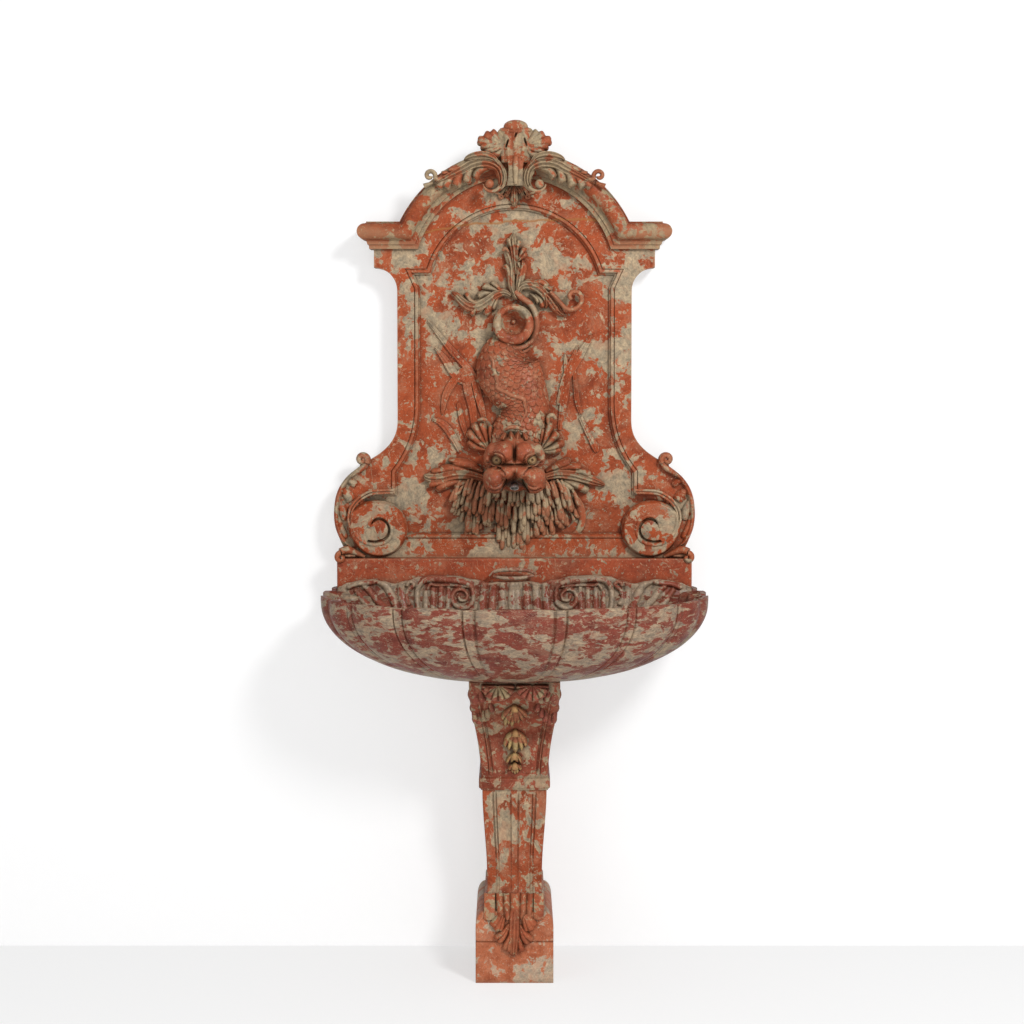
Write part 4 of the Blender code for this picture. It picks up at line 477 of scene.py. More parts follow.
def rod(bm, line, sides=12, flat=1.0):
    """A round of stone along rows of (x, depth, z, radius); flat presses it to the wall."""
    spots = [place(*row[:3]) for row in line]
    last = len(line) - 1

    def spot(i, j):
        k = min(max(j - 1, 0), last)
        ahead = (spots[min(k + 1, last)] - spots[max(k - 1, 0)]).normalized()
        side = ahead.cross(Vector((0, 1, 0)))
        side = side.normalized() if side.length > 0.05 else Vector((1, 0, 0))
        out = side.cross(ahead)
        radius = 0.0 if j in (0, last + 2) else line[k][3]
        turn = 2 * math.pi * i / sides
        return spots[k] + side * radius * math.cos(turn) + out * radius * flat * math.sin(turn)

    skin(bm, sides, last + 2, spot)


def ball(bm, middle, reach, sides, rings):
    """An egg of stone about (x, depth, z) with its own reach along each."""
    for vert in bmesh.ops.create_uvsphere(bm, u_segments=sides, v_segments=rings, radius=1.0)["verts"]:
        vert.co = place(*(at + far * share for at, far, share in zip(middle, reach, vert.co)))


def curl(x, depth, z, start, end, wide, narrow, thick, thin, steps=40):
    """Rows for a rod that rolls up about (x, z); its angles are in degrees."""
    rows = []
    for share in stations(0, 1, steps):
        angle = math.radians(start + (end - start) * share)
        reach = wide + (narrow - wide) * share
        radius = thick + (thin - thick) * share
        rows.append((x + reach * math.cos(angle), depth, z + reach * math.sin(angle), radius))
    return rows


foot_stone = marble(
    "foot_leaf_marble", (0.345, 0.088, 0.038), (0.21, 0.048, 0.022), (0.46, 0.34, 0.19), (0.28, 0.22, 0.14),
    cover=0.22, stretch=(1.2, 1.2, 1.2), roughness=0.48, patina_shade_and_highlight=0.75,
)
foot_leaf = bmesh.new()


def foot_seat(z):
    return smooth_between(mm(((125, 293.5), (150, 287), (166, 273), (188, 256), (204, 248.5))), z)


for x, wide in mm(((-58, 12.5), (-35.5, 8.5), (-19, 8), (1.5, 11.5), (21.5, 8), (37, 8), (56, 11.5))):
    side = abs(x) > 0.05
    rows = []
    for t in stations(0, 1, 10):
        z = 0.2005 - 0.052 * t
        rows.append((x * (1 - 0.10 * t * (not side)), z, wide, 0.015, foot_seat(z) - 0.002))
    leaf(foot_leaf, rows, 1, notch=0.0, lean=0.0, across=16, flutes=0.0, edge=0.85 if side else 0.55)
for root, mid, tip, wide in mm((
    ((-30, 160), (-40, 145), (-51.5, 132), 10.5), ((-27, 158), (-34, 140), (-42, 123), 8.5),
    ((-24, 155), (-28, 140), (-32, 122), 6), ((24, 160), (34, 146), (47, 134), 10.5),
    ((21, 158), (32, 140), (39, 124), 9), ((20, 155), (24, 138), (28, 122), 6),
    ((-12, 140), (-28, 119), (-44, 105.5), 7), ((-12, 136), (-24, 112), (-37, 96), 7),
    ((12, 138), (25, 116), (41.5, 101), 7.5), ((12, 132), (21, 108), (31, 92.5), 7.5),
    ((-8, 120), (-17, 98), (-23.5, 79), 7), ((-6, 110), (-12, 92), (-13.5, 74), 6.5),
    ((8, 116), (13, 95), (16.5, 75), 7),
)):
    finger(foot_leaf, root, mid, tip, wide, 0.0145, foot_seat((mid[1] + tip[1]) / 2))
middle = mm((
    (1, 170, 11, 12, 273), (0, 150, 13, 13, 287), (-1, 120, 13, 13.5, 293.5), (-2, 92, 11, 13.5, 293.5),
    (-3, 72, 8, 13, 293.5), (-4, 64, 3, 8, 293.5),
))
leaf(foot_leaf, threaded(middle, 10), 1, notch=0.0, lean=0.2, across=26, flutes=1.5, edge=0.8)
carved("foot_acanthus_leaf", foot_leaf, foot_stone, "carved_marble", "foot_acanthus")


# Console carving. Two gadrooned scrolls roll out under the basin, a small acanthus leaf hangs
# at each corner and a string of four bellflowers, two of them yellowish, falls down the front.
# Darker than the other carvings, as it lies in the shade under the basin: painted shade.
dark_stone = marble(
    "console_carving_marble", (0.250, 0.066, 0.042), (0.15, 0.038, 0.026), (0.42, 0.31, 0.165),
    (0.24, 0.19, 0.12),
    cover=0.26, stretch=(1.3, 1.3, 1.3), roughness=0.50, patina_shade_and_highlight=0.85,
)
capital = bmesh.new()
for middle_x in (-0.0375, 0.0405):
    for turn in (-86, 86, -62, 62, -38, 38, -13, 13):
        out, down = 0.0365 * math.sin(math.radians(turn)), 0.0345 * math.cos(math.radians(turn))
        root = (middle_x + 0.10 * out, CONSOLE_TOP)
        mid = (middle_x + 0.74 * out, CONSOLE_TOP - 0.62 * down)
        tip = (middle_x + 1.03 * out, CONSOLE_TOP - 1.05 * down)
        wide = 0.0092 if abs(turn) < 80 else 0.0050
        finger(capital, root, mid, tip, wide, 0.0215, console_front(0.682) - 0.001)
for x, z in ((-0.064, 0.6945), (0.067, 0.6915)):
    ball(capital, (x, 0.349, z - 0.001), (0.0055, 0.006, 0.0055), sides=20, rings=12)
carved("capital_scrolls", capital, dark_stone, "carved_marble", "console_capital")

for hand, node in ((-1, "console_leaf_left"), (1, "console_leaf_right")):
    corner_leaf = bmesh.new()
    for root, mid, tip, wide in mm((
        ((88, 699), (90, 676), (86, 654.5), 11), ((78, 699), (76, 678), (72, 660), 8.5),
        ((58, 664), (54, 648), (50, 633), 6), ((64, 662), (62, 638), (61, 616.5), 6.5),
        ((72, 664), (72, 632), (70, 606), 8), ((80, 664), (83, 628), (81, 599), 9),
        ((88, 664), (92, 634), (90, 606), 6.5),
    )):
        level = (mid[1] + tip[1]) / 2
        finger(corner_leaf, *turned(hand, (root, mid, tip)), wide, 0.0125, console_front(level) - 0.002)
    for top, low in ((0.690, 0.655), (0.650, 0.622), (0.617, 0.590)):
        half_way = (top + low) / 2
        rows = []
        for level, z, inward, back, radius in (
            (half_way, top, 0.006, 0.034, 0.005), (half_way, half_way, 0.003, 0.030, 0.0075),
            (low, low, 0.003, 0.026, 0.003),
        ):
            rows.append((console_half(level) - inward, console_front(level) - back, z, radius))
        rod(corner_leaf, threaded(turned(hand, rows), 8), sides=14)
    carved(node.replace("console_leaf", "corner_leaf"), corner_leaf, dark_stone, "carved_marble", node)

yellow_stone = marble(
    "bellflower_marble", (0.29, 0.100, 0.050), (0.18, 0.055, 0.032), (0.48, 0.33, 0.13), (0.32, 0.23, 0.12),
    cover=0.42, stretch=(1.3, 1.3, 1.3), roughness=0.48, patina_shade_and_highlight=0.85,
)
bells = bmesh.new()
for root, petals in mm((
    ((0, 648), ((-25.5, 608, 7.5), (-20.5, 589, 7), (-5.5, 588, 7.5), (8.5, 596, 7.5), (18, 604, 7),
        (26, 614, 6.5), (-13, 595, 7.5), (2, 600, 8))),
    ((2, 578), ((-20.5, 534, 8), (25, 534, 8), (-12, 526, 8.5), (16, 526, 8.5), (2, 520, 10.5))),
    ((0, 520), ((-16.5, 493.5, 5), (15.5, 493.5, 5), (-6, 498, 6.5), (6, 498, 6.5))),
    ((1, 496), ((-11, 478, 5.5), (13, 478, 5.5), (-4, 471, 6), (6, 470, 6), (1, 468, 5.5))),
)):
    root_x, root_z = root
    for n, (x, z, wide) in enumerate(petals):
        long, lift = root_z - z, 0.0008 * n
        rows = [
            (root_x, root_z, 0.5 * wide, 0.010),
            ((root_x + 2 * x) / 3, root_z - 0.40 * long, wide, 0.017 + lift),
            (x, z + 0.20 * long, 0.70 * wide, 0.016 + lift),
            (x, z, 0.0008, 0.010),
        ]
        rows = [(*row, console_front(row[1]) - 0.006) for row in threaded(rows, 7)]
        leaf(bells, rows, 1, notch=0.0, lean=0.0, across=16, flutes=0.0, edge=0.35)
    level = root_z - 0.004
    stem = ((0.004, 0.006, 0.003), (0.008, 0.0, 0.0065), (0.009, -0.010, 0.0085))
    rod(
        bells, [(root_x, console_front(level) + out, level + up, radius) for out, up, radius in stem],
        sides=12,
    )
carved("bellflowers", bells, yellow_stone, "carved_marble", "bellflower_drop")


# Basin. A shell bowl hollowed from one block of deep red marble and polished: nine lobes in
# front with narrow fillets between them, a waved rim, and a thick back that stands at the wall.
BASIN_LOW = 0.7003
RIM = 0.893
BOWL_FLOOR = 0.742
DRAIN = 0.215
DRAIN_RADIUS = 0.0216
FILLETS = (-90.0, -70.6, -55.0, -35.0, -13.5, 13.5, 35.0, 55.0, 70.6, 90.0)
WIDEST = 0.200
LOBE_SHARES = (0.0, 0.03, 0.050, 0.058, 0.066, 0.074, 0.082, 0.090, 0.11, 0.14, 0.18, 0.23, 0.29, 0.36, 0.43)
LOBE_SHARES += (0.50,) + tuple(1 - s for s in LOBE_SHARES[:0:-1])
BACK_SHARES = LOBE_SHARES[::2]


def lobe_swell(share):
    """How far a lobe stands out, across its width: a narrow fillet, a cut line, then the bulge."""
    side = min(share, 1 - share)
    if side < 0.052:
        return 0.25
    if side < 0.090:
        return 0.25 - 0.55 * math.sin(math.pi * (side - 0.052) / 0.038)
    return 0.25 + 0.75 * math.sin(math.pi / 2 * min(1.0, (side - 0.090) / 0.30)) ** 0.8


def basin_outline():
    """Marks round the bowl, from the right back corner round the front to the left one and back
    along the wall: (kind, where, share from the wall to the bowl's widest, swell)."""
    marks = []
    for lobe in range(2):
        for share in BACK_SHARES:
            marks.append(("back", 1, (lobe + share) / 2, lobe_swell(share)))
    for high, low in zip(FILLETS[::-1], FILLETS[-2::-1]):
        for share in LOBE_SHARES:
            marks.append(("front", high + (low - high) * share, 0.0, lobe_swell(share)))
    for lobe in range(2):
        for share in BACK_SHARES:
            marks.append(("back", -1, 1 - (lobe + share) / 2, lobe_swell(share)))
    marks.append(("back", -1, 0.0, lobe_swell(0.0)))
    for i in range(1, 40):
        marks.append(("wall", -1 + 2 * i / 40, 0.0, 0.0))
    return marks


BASIN_MARKS = basin_outline()


def basin_point(mark, half, front, back, level, bulge, wave):
    """A mark's point on a row; its lobe stands out by the bulge and lifts the rim by the wave."""
    kind, where, along, swell = mark
    level += wave * max(0.0, swell)
    if kind == "wall":
        return place(where * half * 0.93, back, level)
    if kind == "back":
        width = half * (1 - 0.07 * (1 - along) ** 2) + swell * bulge * min(1.0, 4 * along)
        return place(where * width, back + (WIDEST - back) * along, level)
    angle = math.radians(where)
    across, ahead = math.sin(angle), math.cos(angle)
    size = (abs(across) ** 2.2 + abs(ahead) ** 2.2) ** (-1 / 2.2)
    depth = WIDEST + ahead * ((front - WIDEST) * size + swell * bulge)
    return place(across * (half * size + swell * bulge), depth, level)


def basin_levels():
    """Rows of (half width, front depth, back depth, level, bulge, wave), in basin_spot's order."""
    rows = []
    for i in range(30):
        angle = math.radians(86 * i / 29)
        out, up = math.sin(angle), 1 - math.cos(angle)
        half, front = 0.100 + 0.3405 * out, 0.290 + 0.200 * out
        rows.append((half, front, 0.0, BASIN_LOW + 0.177 * up, 0.010 * out, 0.0))
    for share in (0.3, 0.6, 0.85, 1.0):
        rows.append((0.4407, 0.490, 0.0, RIM - 0.0160 + 0.011 * share, 0.010, 0.0045 * share))
    for turn in stations(0, 180, 8)[1:]:
        bend = math.radians(turn)
        inset = 0.0065 * (1 - math.cos(bend))
        lip = RIM - 0.0075 + 0.0030 * math.sin(bend)
        rows.append((0.4397 - inset, 0.489 - inset, 0.0005 + inset, lip, 0.0095, 0.0045))
    rows.append((0.4225, 0.471, 0.100, RIM - 0.0060, 0.0085, 0.0))
    for i in range(26):
        angle = math.radians(84 - 84 * i / 25)
        out, up = math.sin(angle), 1 - math.cos(angle)
        half, front, back = 0.165 + 0.255 * out, 0.365 + 0.103 * out, 0.125 + 0.006 * (1 - out)
        rows.append((half, front, back, BOWL_FLOOR + 0.150 * up, 0.009 * out, 0.0))
    return rows


basin_rows = basin_levels()


def basin_spot(i, j):
    """Rows run from the drain's foot round the outside, over the rim and down the inside to the
    drain; the last one meets the first down the wall of the drain hole."""
    mark = BASIN_MARKS[i % len(BASIN_MARKS)]
    last = len(basin_rows)
    if 0 < j <= last:
        return basin_point(mark, *basin_rows[j - 1])
    inside = j == last + 1
    point = basin_point(mark, *basin_rows[-1 if inside else 0])
    ring = Vector((point.x, point.y - (WALL - DRAIN), 0.0)).normalized() * DRAIN_RADIUS
    return Vector((ring.x, WALL - DRAIN + ring.y, BOWL_FLOOR if inside else BASIN_LOW))


basin_marble = marble(
    "basin_marble", (0.190, 0.042, 0.026), (0.110, 0.023, 0.015), (0.435, 0.315, 0.200),
    (0.185, 0.142, 0.106),
    cover=0.44, stretch=(1.25, 1.45, 3.00), roughness=0.34, patina_shade_and_highlight=0.35, coat=0.10,
)
basin = bmesh.new()
skin(basin, len(BASIN_MARKS), len(basin_rows) + 2, basin_spot)
carved("shell_basin", basin, basin_marble, "basin_marble", "basin", crisp=60)


# Basin's back carving. A waved shell edge stands along the basin's thick back, cut from the same
# block: a wall of flutes with two C scrolls on it, a small scroll by each end and an open mouth.
CREST_LINE = mm((
    (0, 912), (30, 912), (60, 908), (95, 916), (140, 924.5), (190, 926.5), (225, 923), (255, 913),
    (285, 906), (315, 912), (335, 916.5), (365, 914), (395, 908), (416, 899), (422, 894.5),
))
EDGE_REACH = 0.421
EDGE_LOW = 0.846
BACK_LINES = mm((
    (((97.6, 879.7, 5.5), (102.9, 900.8, 6.5), (124, 911.4, 7.5), (150.4, 915.3, 8), (184.7, 918, 8),
        (211.1, 915.3, 7.5), (225.7, 903.4, 7.5), (230.9, 882.3, 7), (229.6, 858.5, 6.5),
        (225.7, 845.3, 6)), 10.5),
    (((105, 899, 3.5), (150.4, 904, 4), (184.7, 903.4, 4), (199, 906, 4.5), (206, 896, 4.5)), 7.5),
    (((97.6, 879.7, 5.5), (101, 862, 6), (120, 852, 6.5), (140, 859, 6.5), (147.5, 876, 6),
        (140, 891, 5.5), (123, 893.5, 5), (112, 883, 4.5), (115, 871, 4.5), (127, 869, 4.5),
        (132, 877, 4.5)), 9.5),
    (((174.2, 845, 8), (174.2, 896, 7)), 7.5),
    (((192.6, 845, 8), (192.6, 893, 7)), 7.5),
    (((210.5, 845, 7.5), (210.5, 888, 6)), 7),
    (((158, 845, 7), (156, 896, 6)), 6),
    (((245.5, 898, 6), (253, 890, 6), (256, 875, 6), (250, 862, 6.5)), 8.5),
    (((245.5, 898, 6), (238, 906, 5), (248, 912, 5), (254, 904, 5)), 8.5),
    (((260, 848, 9), (268, 880, 10), (269, 912, 8)), 8),
    (((278, 848, 8), (290, 878, 10), (306, 903, 9), (323, 912, 7)), 9),
    (((333, 911, 6), (330, 917, 5), (336, 917, 5)), 11),
    (((333, 911, 6), (352, 908, 6), (372.2, 906, 6), (393, 898, 6)), 8.5),
    (((300, 848, 7), (325, 868, 8), (342, 890, 8), (356, 900, 6)), 8),
    (((340, 848, 8), (360, 870, 8), (376, 892, 6)), 7),
    (((78, 845, 10), (74, 880, 10), (72, 904, 8)), 8),
    (((54, 845, 10), (51, 890, 10), (47, 914, 8)), 8),
    (((30, 845, 10), (29, 880, 10), (27, 906, 8)), 7.5),
    (((6, 845, 10), (6, 880, 10), (5, 904, 8)), 7),
))


def crest_line(x):
    return smooth_between(CREST_LINE, abs(x))


def back_relief(x, z):
    """How far the back's carving stands out at arrays of x and z: raised bands along its lines."""
    height = 0.0012 * numpy.sin(x * 160.0) * numpy.sin(z * 210.0 + 60.0 * x)
    for line, rise in BACK_LINES:
        for px, pz, half in threaded(line, 12):
            away = numpy.hypot(numpy.abs(x) - px, z - pz) / half
            height = numpy.maximum(height, rise * numpy.sqrt(numpy.clip(1 - away**2, 0.0, 1.0)))
    return height


EDGE_ROWS = 420
EDGE_STEPS = 44
edge_x = numpy.linspace(-EDGE_REACH, EDGE_REACH, EDGE_ROWS + 1)[:, None]
edge_top = numpy.array([crest_line(x) for x in edge_x[:, 0]])[:, None]
edge_share = numpy.linspace(0.0, 1.0, EDGE_STEPS + 1)[None, :]
edge_z = EDGE_LOW + (edge_top - 0.002 - EDGE_LOW) * edge_share
edge_depth = 0.1160 + 0.0150 * numpy.clip((RIM - edge_z) / 0.045, 0.0, 1.0) + back_relief(edge_x, edge_z)
edge_depth -= 0.010 * numpy.clip((numpy.abs(edge_x) - 0.34) / 0.08, 0.0, 1.0)


def edge_spot(i, j):
    """Rows run along the basin's back; columns run up its carved front, over the top and down."""
    row = min(max(j - 1, 0), EDGE_ROWS)
    x, top = float(edge_x[row, 0]), float(edge_top[row, 0])
    around = i % (EDGE_STEPS + 8)
    if j in (0, EDGE_ROWS + 2):
        return place(x, 0.100, (top + EDGE_LOW) / 2)
    if around <= EDGE_STEPS:
        return place(x, float(edge_depth[row, around]), float(edge_z[row, around]))
    steps = ((0.108, 0.0), (0.0990, 0.0), (0.0915, -0.004), (0.0908, -0.012))
    if around - EDGE_STEPS <= len(steps):
        depth, drop = steps[around - EDGE_STEPS - 1]
        return place(x, depth, top + drop)
    behind = around - EDGE_STEPS - 5
    return place(x, 0.0908 + 0.001 * behind, RIM + 0.0003 if behind < 1 else EDGE_LOW)


edge_marble = marble(
    "shell_edge_marble", (0.235, 0.056, 0.032), (0.135, 0.030, 0.018), (0.50, 0.370, 0.245),
    (0.225, 0.180, 0.135),
    cover=0.56, stretch=(1.9, 1.9, 1.9), roughness=0.42, patina_shade_and_highlight=0.75, coat=0.06,
)
carving = bmesh.new()
skin(carving, EDGE_STEPS + 8, EDGE_ROWS + 2, edge_spot)
for rows in mm((
    ((-60, 110, 925, 2), (-45, 113, 936, 4.2), (-20, 115, 940, 5), (10, 115, 940.5, 5),
        (34, 113, 937, 4.2), (50, 110, 929, 2)),
    ((-50, 110, 924, 3), (-20, 116, 920, 4.5), (14, 116, 920.5, 4.5), (46, 110, 926, 3)),
)):
    rod(carving, threaded(rows, 8), sides=12)
carved("shell_edge", carving, edge_marble, "basin_marble", "basin_back_carving")


# Plinth slab. A plain sawn band of red marble on the back of the basin, its arrises rubbed
# down; the panel stands on it with dowels and cramps.
panel_marble = marble(
    "panel_marble", (0.330, 0.066, 0.022), (0.205, 0.039, 0.014), CREAM, GREY, cover=0.42,
    stretch=(1.25, 1.25, 1.25), roughness=0.45, patina_shade_and_highlight=0.65,
    crack=True,
)
plinth_marble = marble(
    "plinth_marble", (0.345, 0.072, 0.030), (0.240, 0.048, 0.022), CREAM, GREY,
    cover=0.15, stretch=(1.0, 1.0, 1.0), roughness=0.45, patina_shade_and_highlight=0.45,
)
PLINTH_TOP = 0.964
plinth = bmesh.new()
bmesh.ops.create_cube(plinth, size=1.0)
bmesh.ops.scale(plinth, verts=plinth.verts, vec=(0.846, 0.090, PLINTH_TOP - RIM - 0.0003))
bmesh.ops.translate(plinth, verts=plinth.verts, vec=place(0.0, 0.045, (PLINTH_TOP + RIM + 0.0003) / 2))
bmesh.ops.bevel(
    plinth, geom=plinth.edges[:], offset=0.0025, affect="EDGES", segments=3, profile=0.5, material=-1
)
sides = [f for f in plinth.faces if f.calc_area() > 0.002]
bmesh.ops.inset_individual(plinth, faces=sides, thickness=0.003, use_even_offset=True)
carved("plinth_band", plinth, plinth_marble, "red_marble", "plinth_slab", crisp=40)


# Back panel. One upright slab with concave shoulders and a flared foot. Its field is sunk
# behind a moulding of a fillet, a round and a second fillet, worked round arch, ears and flare.
PANEL_FRONT = 0.062
ARCH_CENTRE = 1.6305
CORNICE_LOW = 1.700


def arc(x, z, radius, start, end, count):
    """Points of an arc, its angles in degrees."""
    turns = [math.radians(a) for a in stations(start, end, count)]
    return [(x + radius * math.cos(a), z + radius * math.sin(a)) for a in turns]


def both_sides(half):
    """A right half from foot to crown, then its mirror image."""
    return half + [(-x, z) for x, z in reversed(half[:-1])]


def panel_outline():
    half = [(0.385, PLINTH_TOP + 0.0004), (0.385, 1.080), (0.385, 1.128), (0.348, 1.172), (0.350, 1.190)]
    half += [(0.279 + 0.067 * (1 - s) ** 2.6, 1.198 + 0.100 * s) for s in stations(0, 1, 24)]
    half += [(0.279, 1.400), (0.279, 1.500), (0.279, 1.595)]
    half += arc(0.334, 1.601, 0.055, 176, 90, 20)
    half += [(0.334, 1.6565), (0.334, 1.7317)]
    half += arc(0.0, ARCH_CENTRE, 0.2707, 21.9, 90, 40)
    return both_sides(half)


def field_outline():
    half = [(0.3720, 1.0093), (0.3720, 1.127), (0.2955, 1.127), (0.2955, 1.172)]
    half += [(0.239 + 0.0565 * (1 - s) ** 2.4, 1.172 + 0.170 * s) for s in stations(0, 1, 24)[1:]]
    half += [(0.239, 1.500), (0.239, 1.606), (0.2605, 1.6535)]
    half += arc(0.0, 1.5875, 0.220, 17.5, 90, 36)
    return both_sides(half)


def loop(bm, outline, depth):
    """Closes an outline of (x, z) points as a ring of edges at a depth."""
    verts = [bm.verts.new(place(x, depth, z)) for x, z in outline]
    return [bm.edges.new((a, b)) for a, b in zip(verts, verts[1:] + verts[:1])]


def slab_back(bm, rim, depth):
    """Extrudes the rim back to a depth and closes it there."""
    made = bmesh.ops.extrude_edge_only(bm, edges=rim)
    ends = [v for v in made["geom"] if isinstance(v, bmesh.types.BMVert)]
    for vert in ends:
        vert.co.y = WALL - depth
    edges = [e for e in made["geom"] if isinstance(e, bmesh.types.BMEdge)]
    closing = [e for e in edges if all(v in ends for v in e.verts)]
    bmesh.ops.triangle_fill(bm, edges=closing, use_beauty=True)


panel = bmesh.new()
outer = loop(panel, panel_outline(), PANEL_FRONT)
inner = loop(panel, field_outline(), PANEL_FRONT)
bmesh.ops.triangle_fill(panel, edges=outer + inner, use_beauty=True)
border = panel.faces[:]
slab_back(panel, outer, 0.0)
field_face = panel.faces.new([e.verts[0] for e in inner])
bmesh.ops.recalc_face_normals(panel, faces=panel.faces)
bmesh.ops.inset_region(panel, faces=border, thickness=0.0025, depth=0.0, use_even_offset=True)
MOULDING = mm((
    (0.5, -3.2), (1.2, 1.4), (1.8, 1.8), (2.6, 0.6), (2.6, -0.6), (1.8, -2.6), (0.5, -3.4), (2.6, 0),
    (0.6, -6), (4, 0),
))
for width, rise in MOULDING:
    bmesh.ops.inset_region(panel, faces=[field_face], thickness=width, depth=rise, use_even_offset=True)
carved("back_slab", panel, panel_marble, "red_marble", "back_panel", crisp=35)


# Side volutes. Each is one piece on the plinth that rolls up against the panel's flare: a
# rolled disc with a spiral bead and a raised eye, acanthus down its back, a curl above and below.
EYE = (0.3235, 1.0325)
ROLL_RADIUS = 0.0675
SPIRAL = (
    (110, 0.0985), (80, 0.0955), (60, 0.0875), (40, 0.0785), (20, 0.0690), (0, 0.0600), (-25, 0.0510),
    (-60, 0.0405), (-90, 0.0345), (-130, 0.0335), (-170, 0.0320), (-205, 0.0315), (-240, 0.0325),
    (-270, 0.0335), (-300, 0.0315), (-325, 0.0270), (-345, 0.0240),
)


def spiral_reach(angle):
    """How far the spiral bead runs from the eye, at an angle in degrees."""
    for (a, first), (b, second) in zip(SPIRAL, SPIRAL[1:]):
        if b <= angle <= a:
            return second + (first - second) * (angle - b) / (a - b)
    return None


def roll_reach(angle):
    """The roll's outer edge, which spirals out to meet the moulding at its upper right."""
    return ROLL_RADIUS + 0.0115 * math.exp(-(((angle - 28) / 40) ** 2))


def roll_depth(reach, angle):
    """Depth of the rolled disc at a reach from its eye, in a direction of the clock."""
    depth = 0.0815 - 0.018 * max(0.0, (reach / roll_reach(angle) - 0.88) / 0.12) ** 2
    for turn in (0, 360):
        line = spiral_reach(angle - turn)
        if line is None:
            continue
        near = abs(reach - line)
        if near < 0.0042:
            depth += 0.0030 * math.sqrt(1 - (near / 0.0042) ** 2)
        elif line < 0.045 and 0.0 < line - reach < 0.011:
            depth -= 0.0105 * math.sin(math.pi * (line - reach - 0.0042) / 0.0068)
    if reach < 0.0215:
        depth = 0.0815 + 0.0040 * (1 - (reach / 0.0215) ** 2)
    return depth


VOLUTE_BACK = mm((
    (386, 964.6), (406, 985), (418.7, 1010), (428.7, 1037.4), (431.5, 1064.7), (428.7, 1095.5),
    (420, 1123), (403, 1150), (381, 1169), (370, 1183),
))
for hand, node in ((-1, "volute_left"), (1, "volute_right")):
    volute = bmesh.new()
    edge = threaded(VOLUTE_BACK, 6)
    edge += mm((
        (366, 1195), (352, 1200), (344, 1192), (340, 1160), (336, 1127), (350, 1120), (364, 1111),
        (376, 1098.5), (387, 1080), (390.5, 1056), (360, 1000), (300, 990), (290, 964.6),
    ))
    rim = loop(volute, turned(hand, edge), 0.0624)
    bmesh.ops.triangle_fill(volute, edges=rim, use_beauty=True)
    front = volute.faces[:]
    slab_back(volute, rim, 0.0)
    bmesh.ops.recalc_face_normals(volute, faces=volute.faces)
    bmesh.ops.inset_region(volute, faces=front, thickness=0.0020, depth=0.0, use_even_offset=True)

    def rolled(i, j):
        angle = 360 * i / 180 - 180
        if j > 60:
            reach = roll_reach(angle) if j == 61 else 0.0
            depth = 0.052
        else:
            reach = roll_reach(angle) * j / 60
            depth = roll_depth(reach, angle)
        x = EYE[0] + reach * math.cos(math.radians(angle))
        z = max(EYE[1] + reach * math.sin(math.radians(angle)), 0.9646)
        return place(hand * x, depth, z)

    skin(volute, 180, 62, rolled)
    band = mm((
        (288, 1126.5, 76.5), (308, 1126.5, 77.5), (340, 1124.5, 78), (362, 1115, 78), (379, 1101, 78),
        (392, 1082, 78), (396, 1056, 79), (388, 1033, 80), (376, 1013, 80.5),
    ))
    for shift, radius in ((0.0, 0.0030), (-0.0068, 0.0026)):
        rows = []
        for x, z, depth in threaded(band, 8):
            away = Vector((x - EYE[0], z - EYE[1])).normalized() * shift
            rows.append((x + away.x, depth - 0.001, z + away.y, radius))
        rod(volute, turned(hand, rows), sides=10)
    for root, mid, tip, wide in mm((
        ((404, 1150), (391, 1147), (378, 1137), 8.5), ((414, 1130), (402, 1119), (389, 1100), 12),
        ((421, 1104), (412, 1082), (404, 1054), 10.5), ((424, 1072), (417, 1040), (403, 1010), 8),
    )):
        finger(volute, *turned(hand, (root, mid, tip)), wide, 0.0110, 0.0600)
    vein = mm((
        (372, 1178, 3), (398, 1153, 5.5), (416.5, 1122, 6.5), (424.5, 1085, 6.5), (423.5, 1045, 6),
        (410, 1008, 5), (390, 988, 2),
    ))
    rows = turned(hand, [(*row, 0.0150, 0.0600) for row in threaded(vein, 9)])
    leaf(volute, rows, 1, notch=0.0, lean=0.0, across=18, flutes=0.5, edge=0.5)
    neck = mm(((394, 66, 1158, 4), (376, 70, 1171, 6), (360, 70, 1182, 7.5), (353, 68, 1193, 7.5)))
    rod(volute, turned(hand, threaded(neck, 8)), sides=12)
    rod(
        volute, turned(hand, curl(0.3630, 0.0655, 1.1995, 215, -215, 0.0130, 0.001, 0.0084, 0.0076)),
        sides=14, flat=1.9,
    )
    tail = mm(((360, 64, 967.5, 5), (382, 72, 978, 8), (400, 79, 984, 9.5), (415, 84, 980, 9)))
    rod(volute, turned(hand, threaded(tail, 8)), sides=14, flat=1.8)
    rod(
        volute, turned(hand, curl(0.4130, 0.0880, 0.9660, 90, -230, 0.0115, 0.0015, 0.0078, 0.0060)),
        sides=14, flat=1.6,
    )
    under = mm(((380, 55, 971, 8), (396, 55, 971, 9.5), (412, 55, 971, 8)))
    rod(volute, turned(hand, under), sides=14, flat=3.2)
    carved(node.replace("volute", "side_volute"), volute, panel_marble, "red_marble", node, crisp=50)


# Cornice. One heavy moulding with level returns and a round arch between them, mitred where
# they meet. It sits on the panel's crown with a dowel: fillets below, a big round, a fillet above.
CORNICE_SEAT = 0.0623
CORNICE_TALL = 0.064
ARCH = 0.239


def cornice_section():
    """(outward, depth) points of the moulding from its foot over the front to the back."""
    points = [*mm(((0, 0), (0, 72.3), (9.5, 73.3), (10, 76.3), (16.5, 78.3), (20, 79.5)))]
    for step in range(17):
        turn = math.pi * step / 16
        points.append((0.0405 - 0.0195 * math.cos(turn), 0.0806 + 0.0195 * math.sin(turn)))
    points += [(0.0605, 0.0806), (0.0608, 0.0790), (CORNICE_TALL, 0.0790), (CORNICE_TALL, 0.0)]
    return points


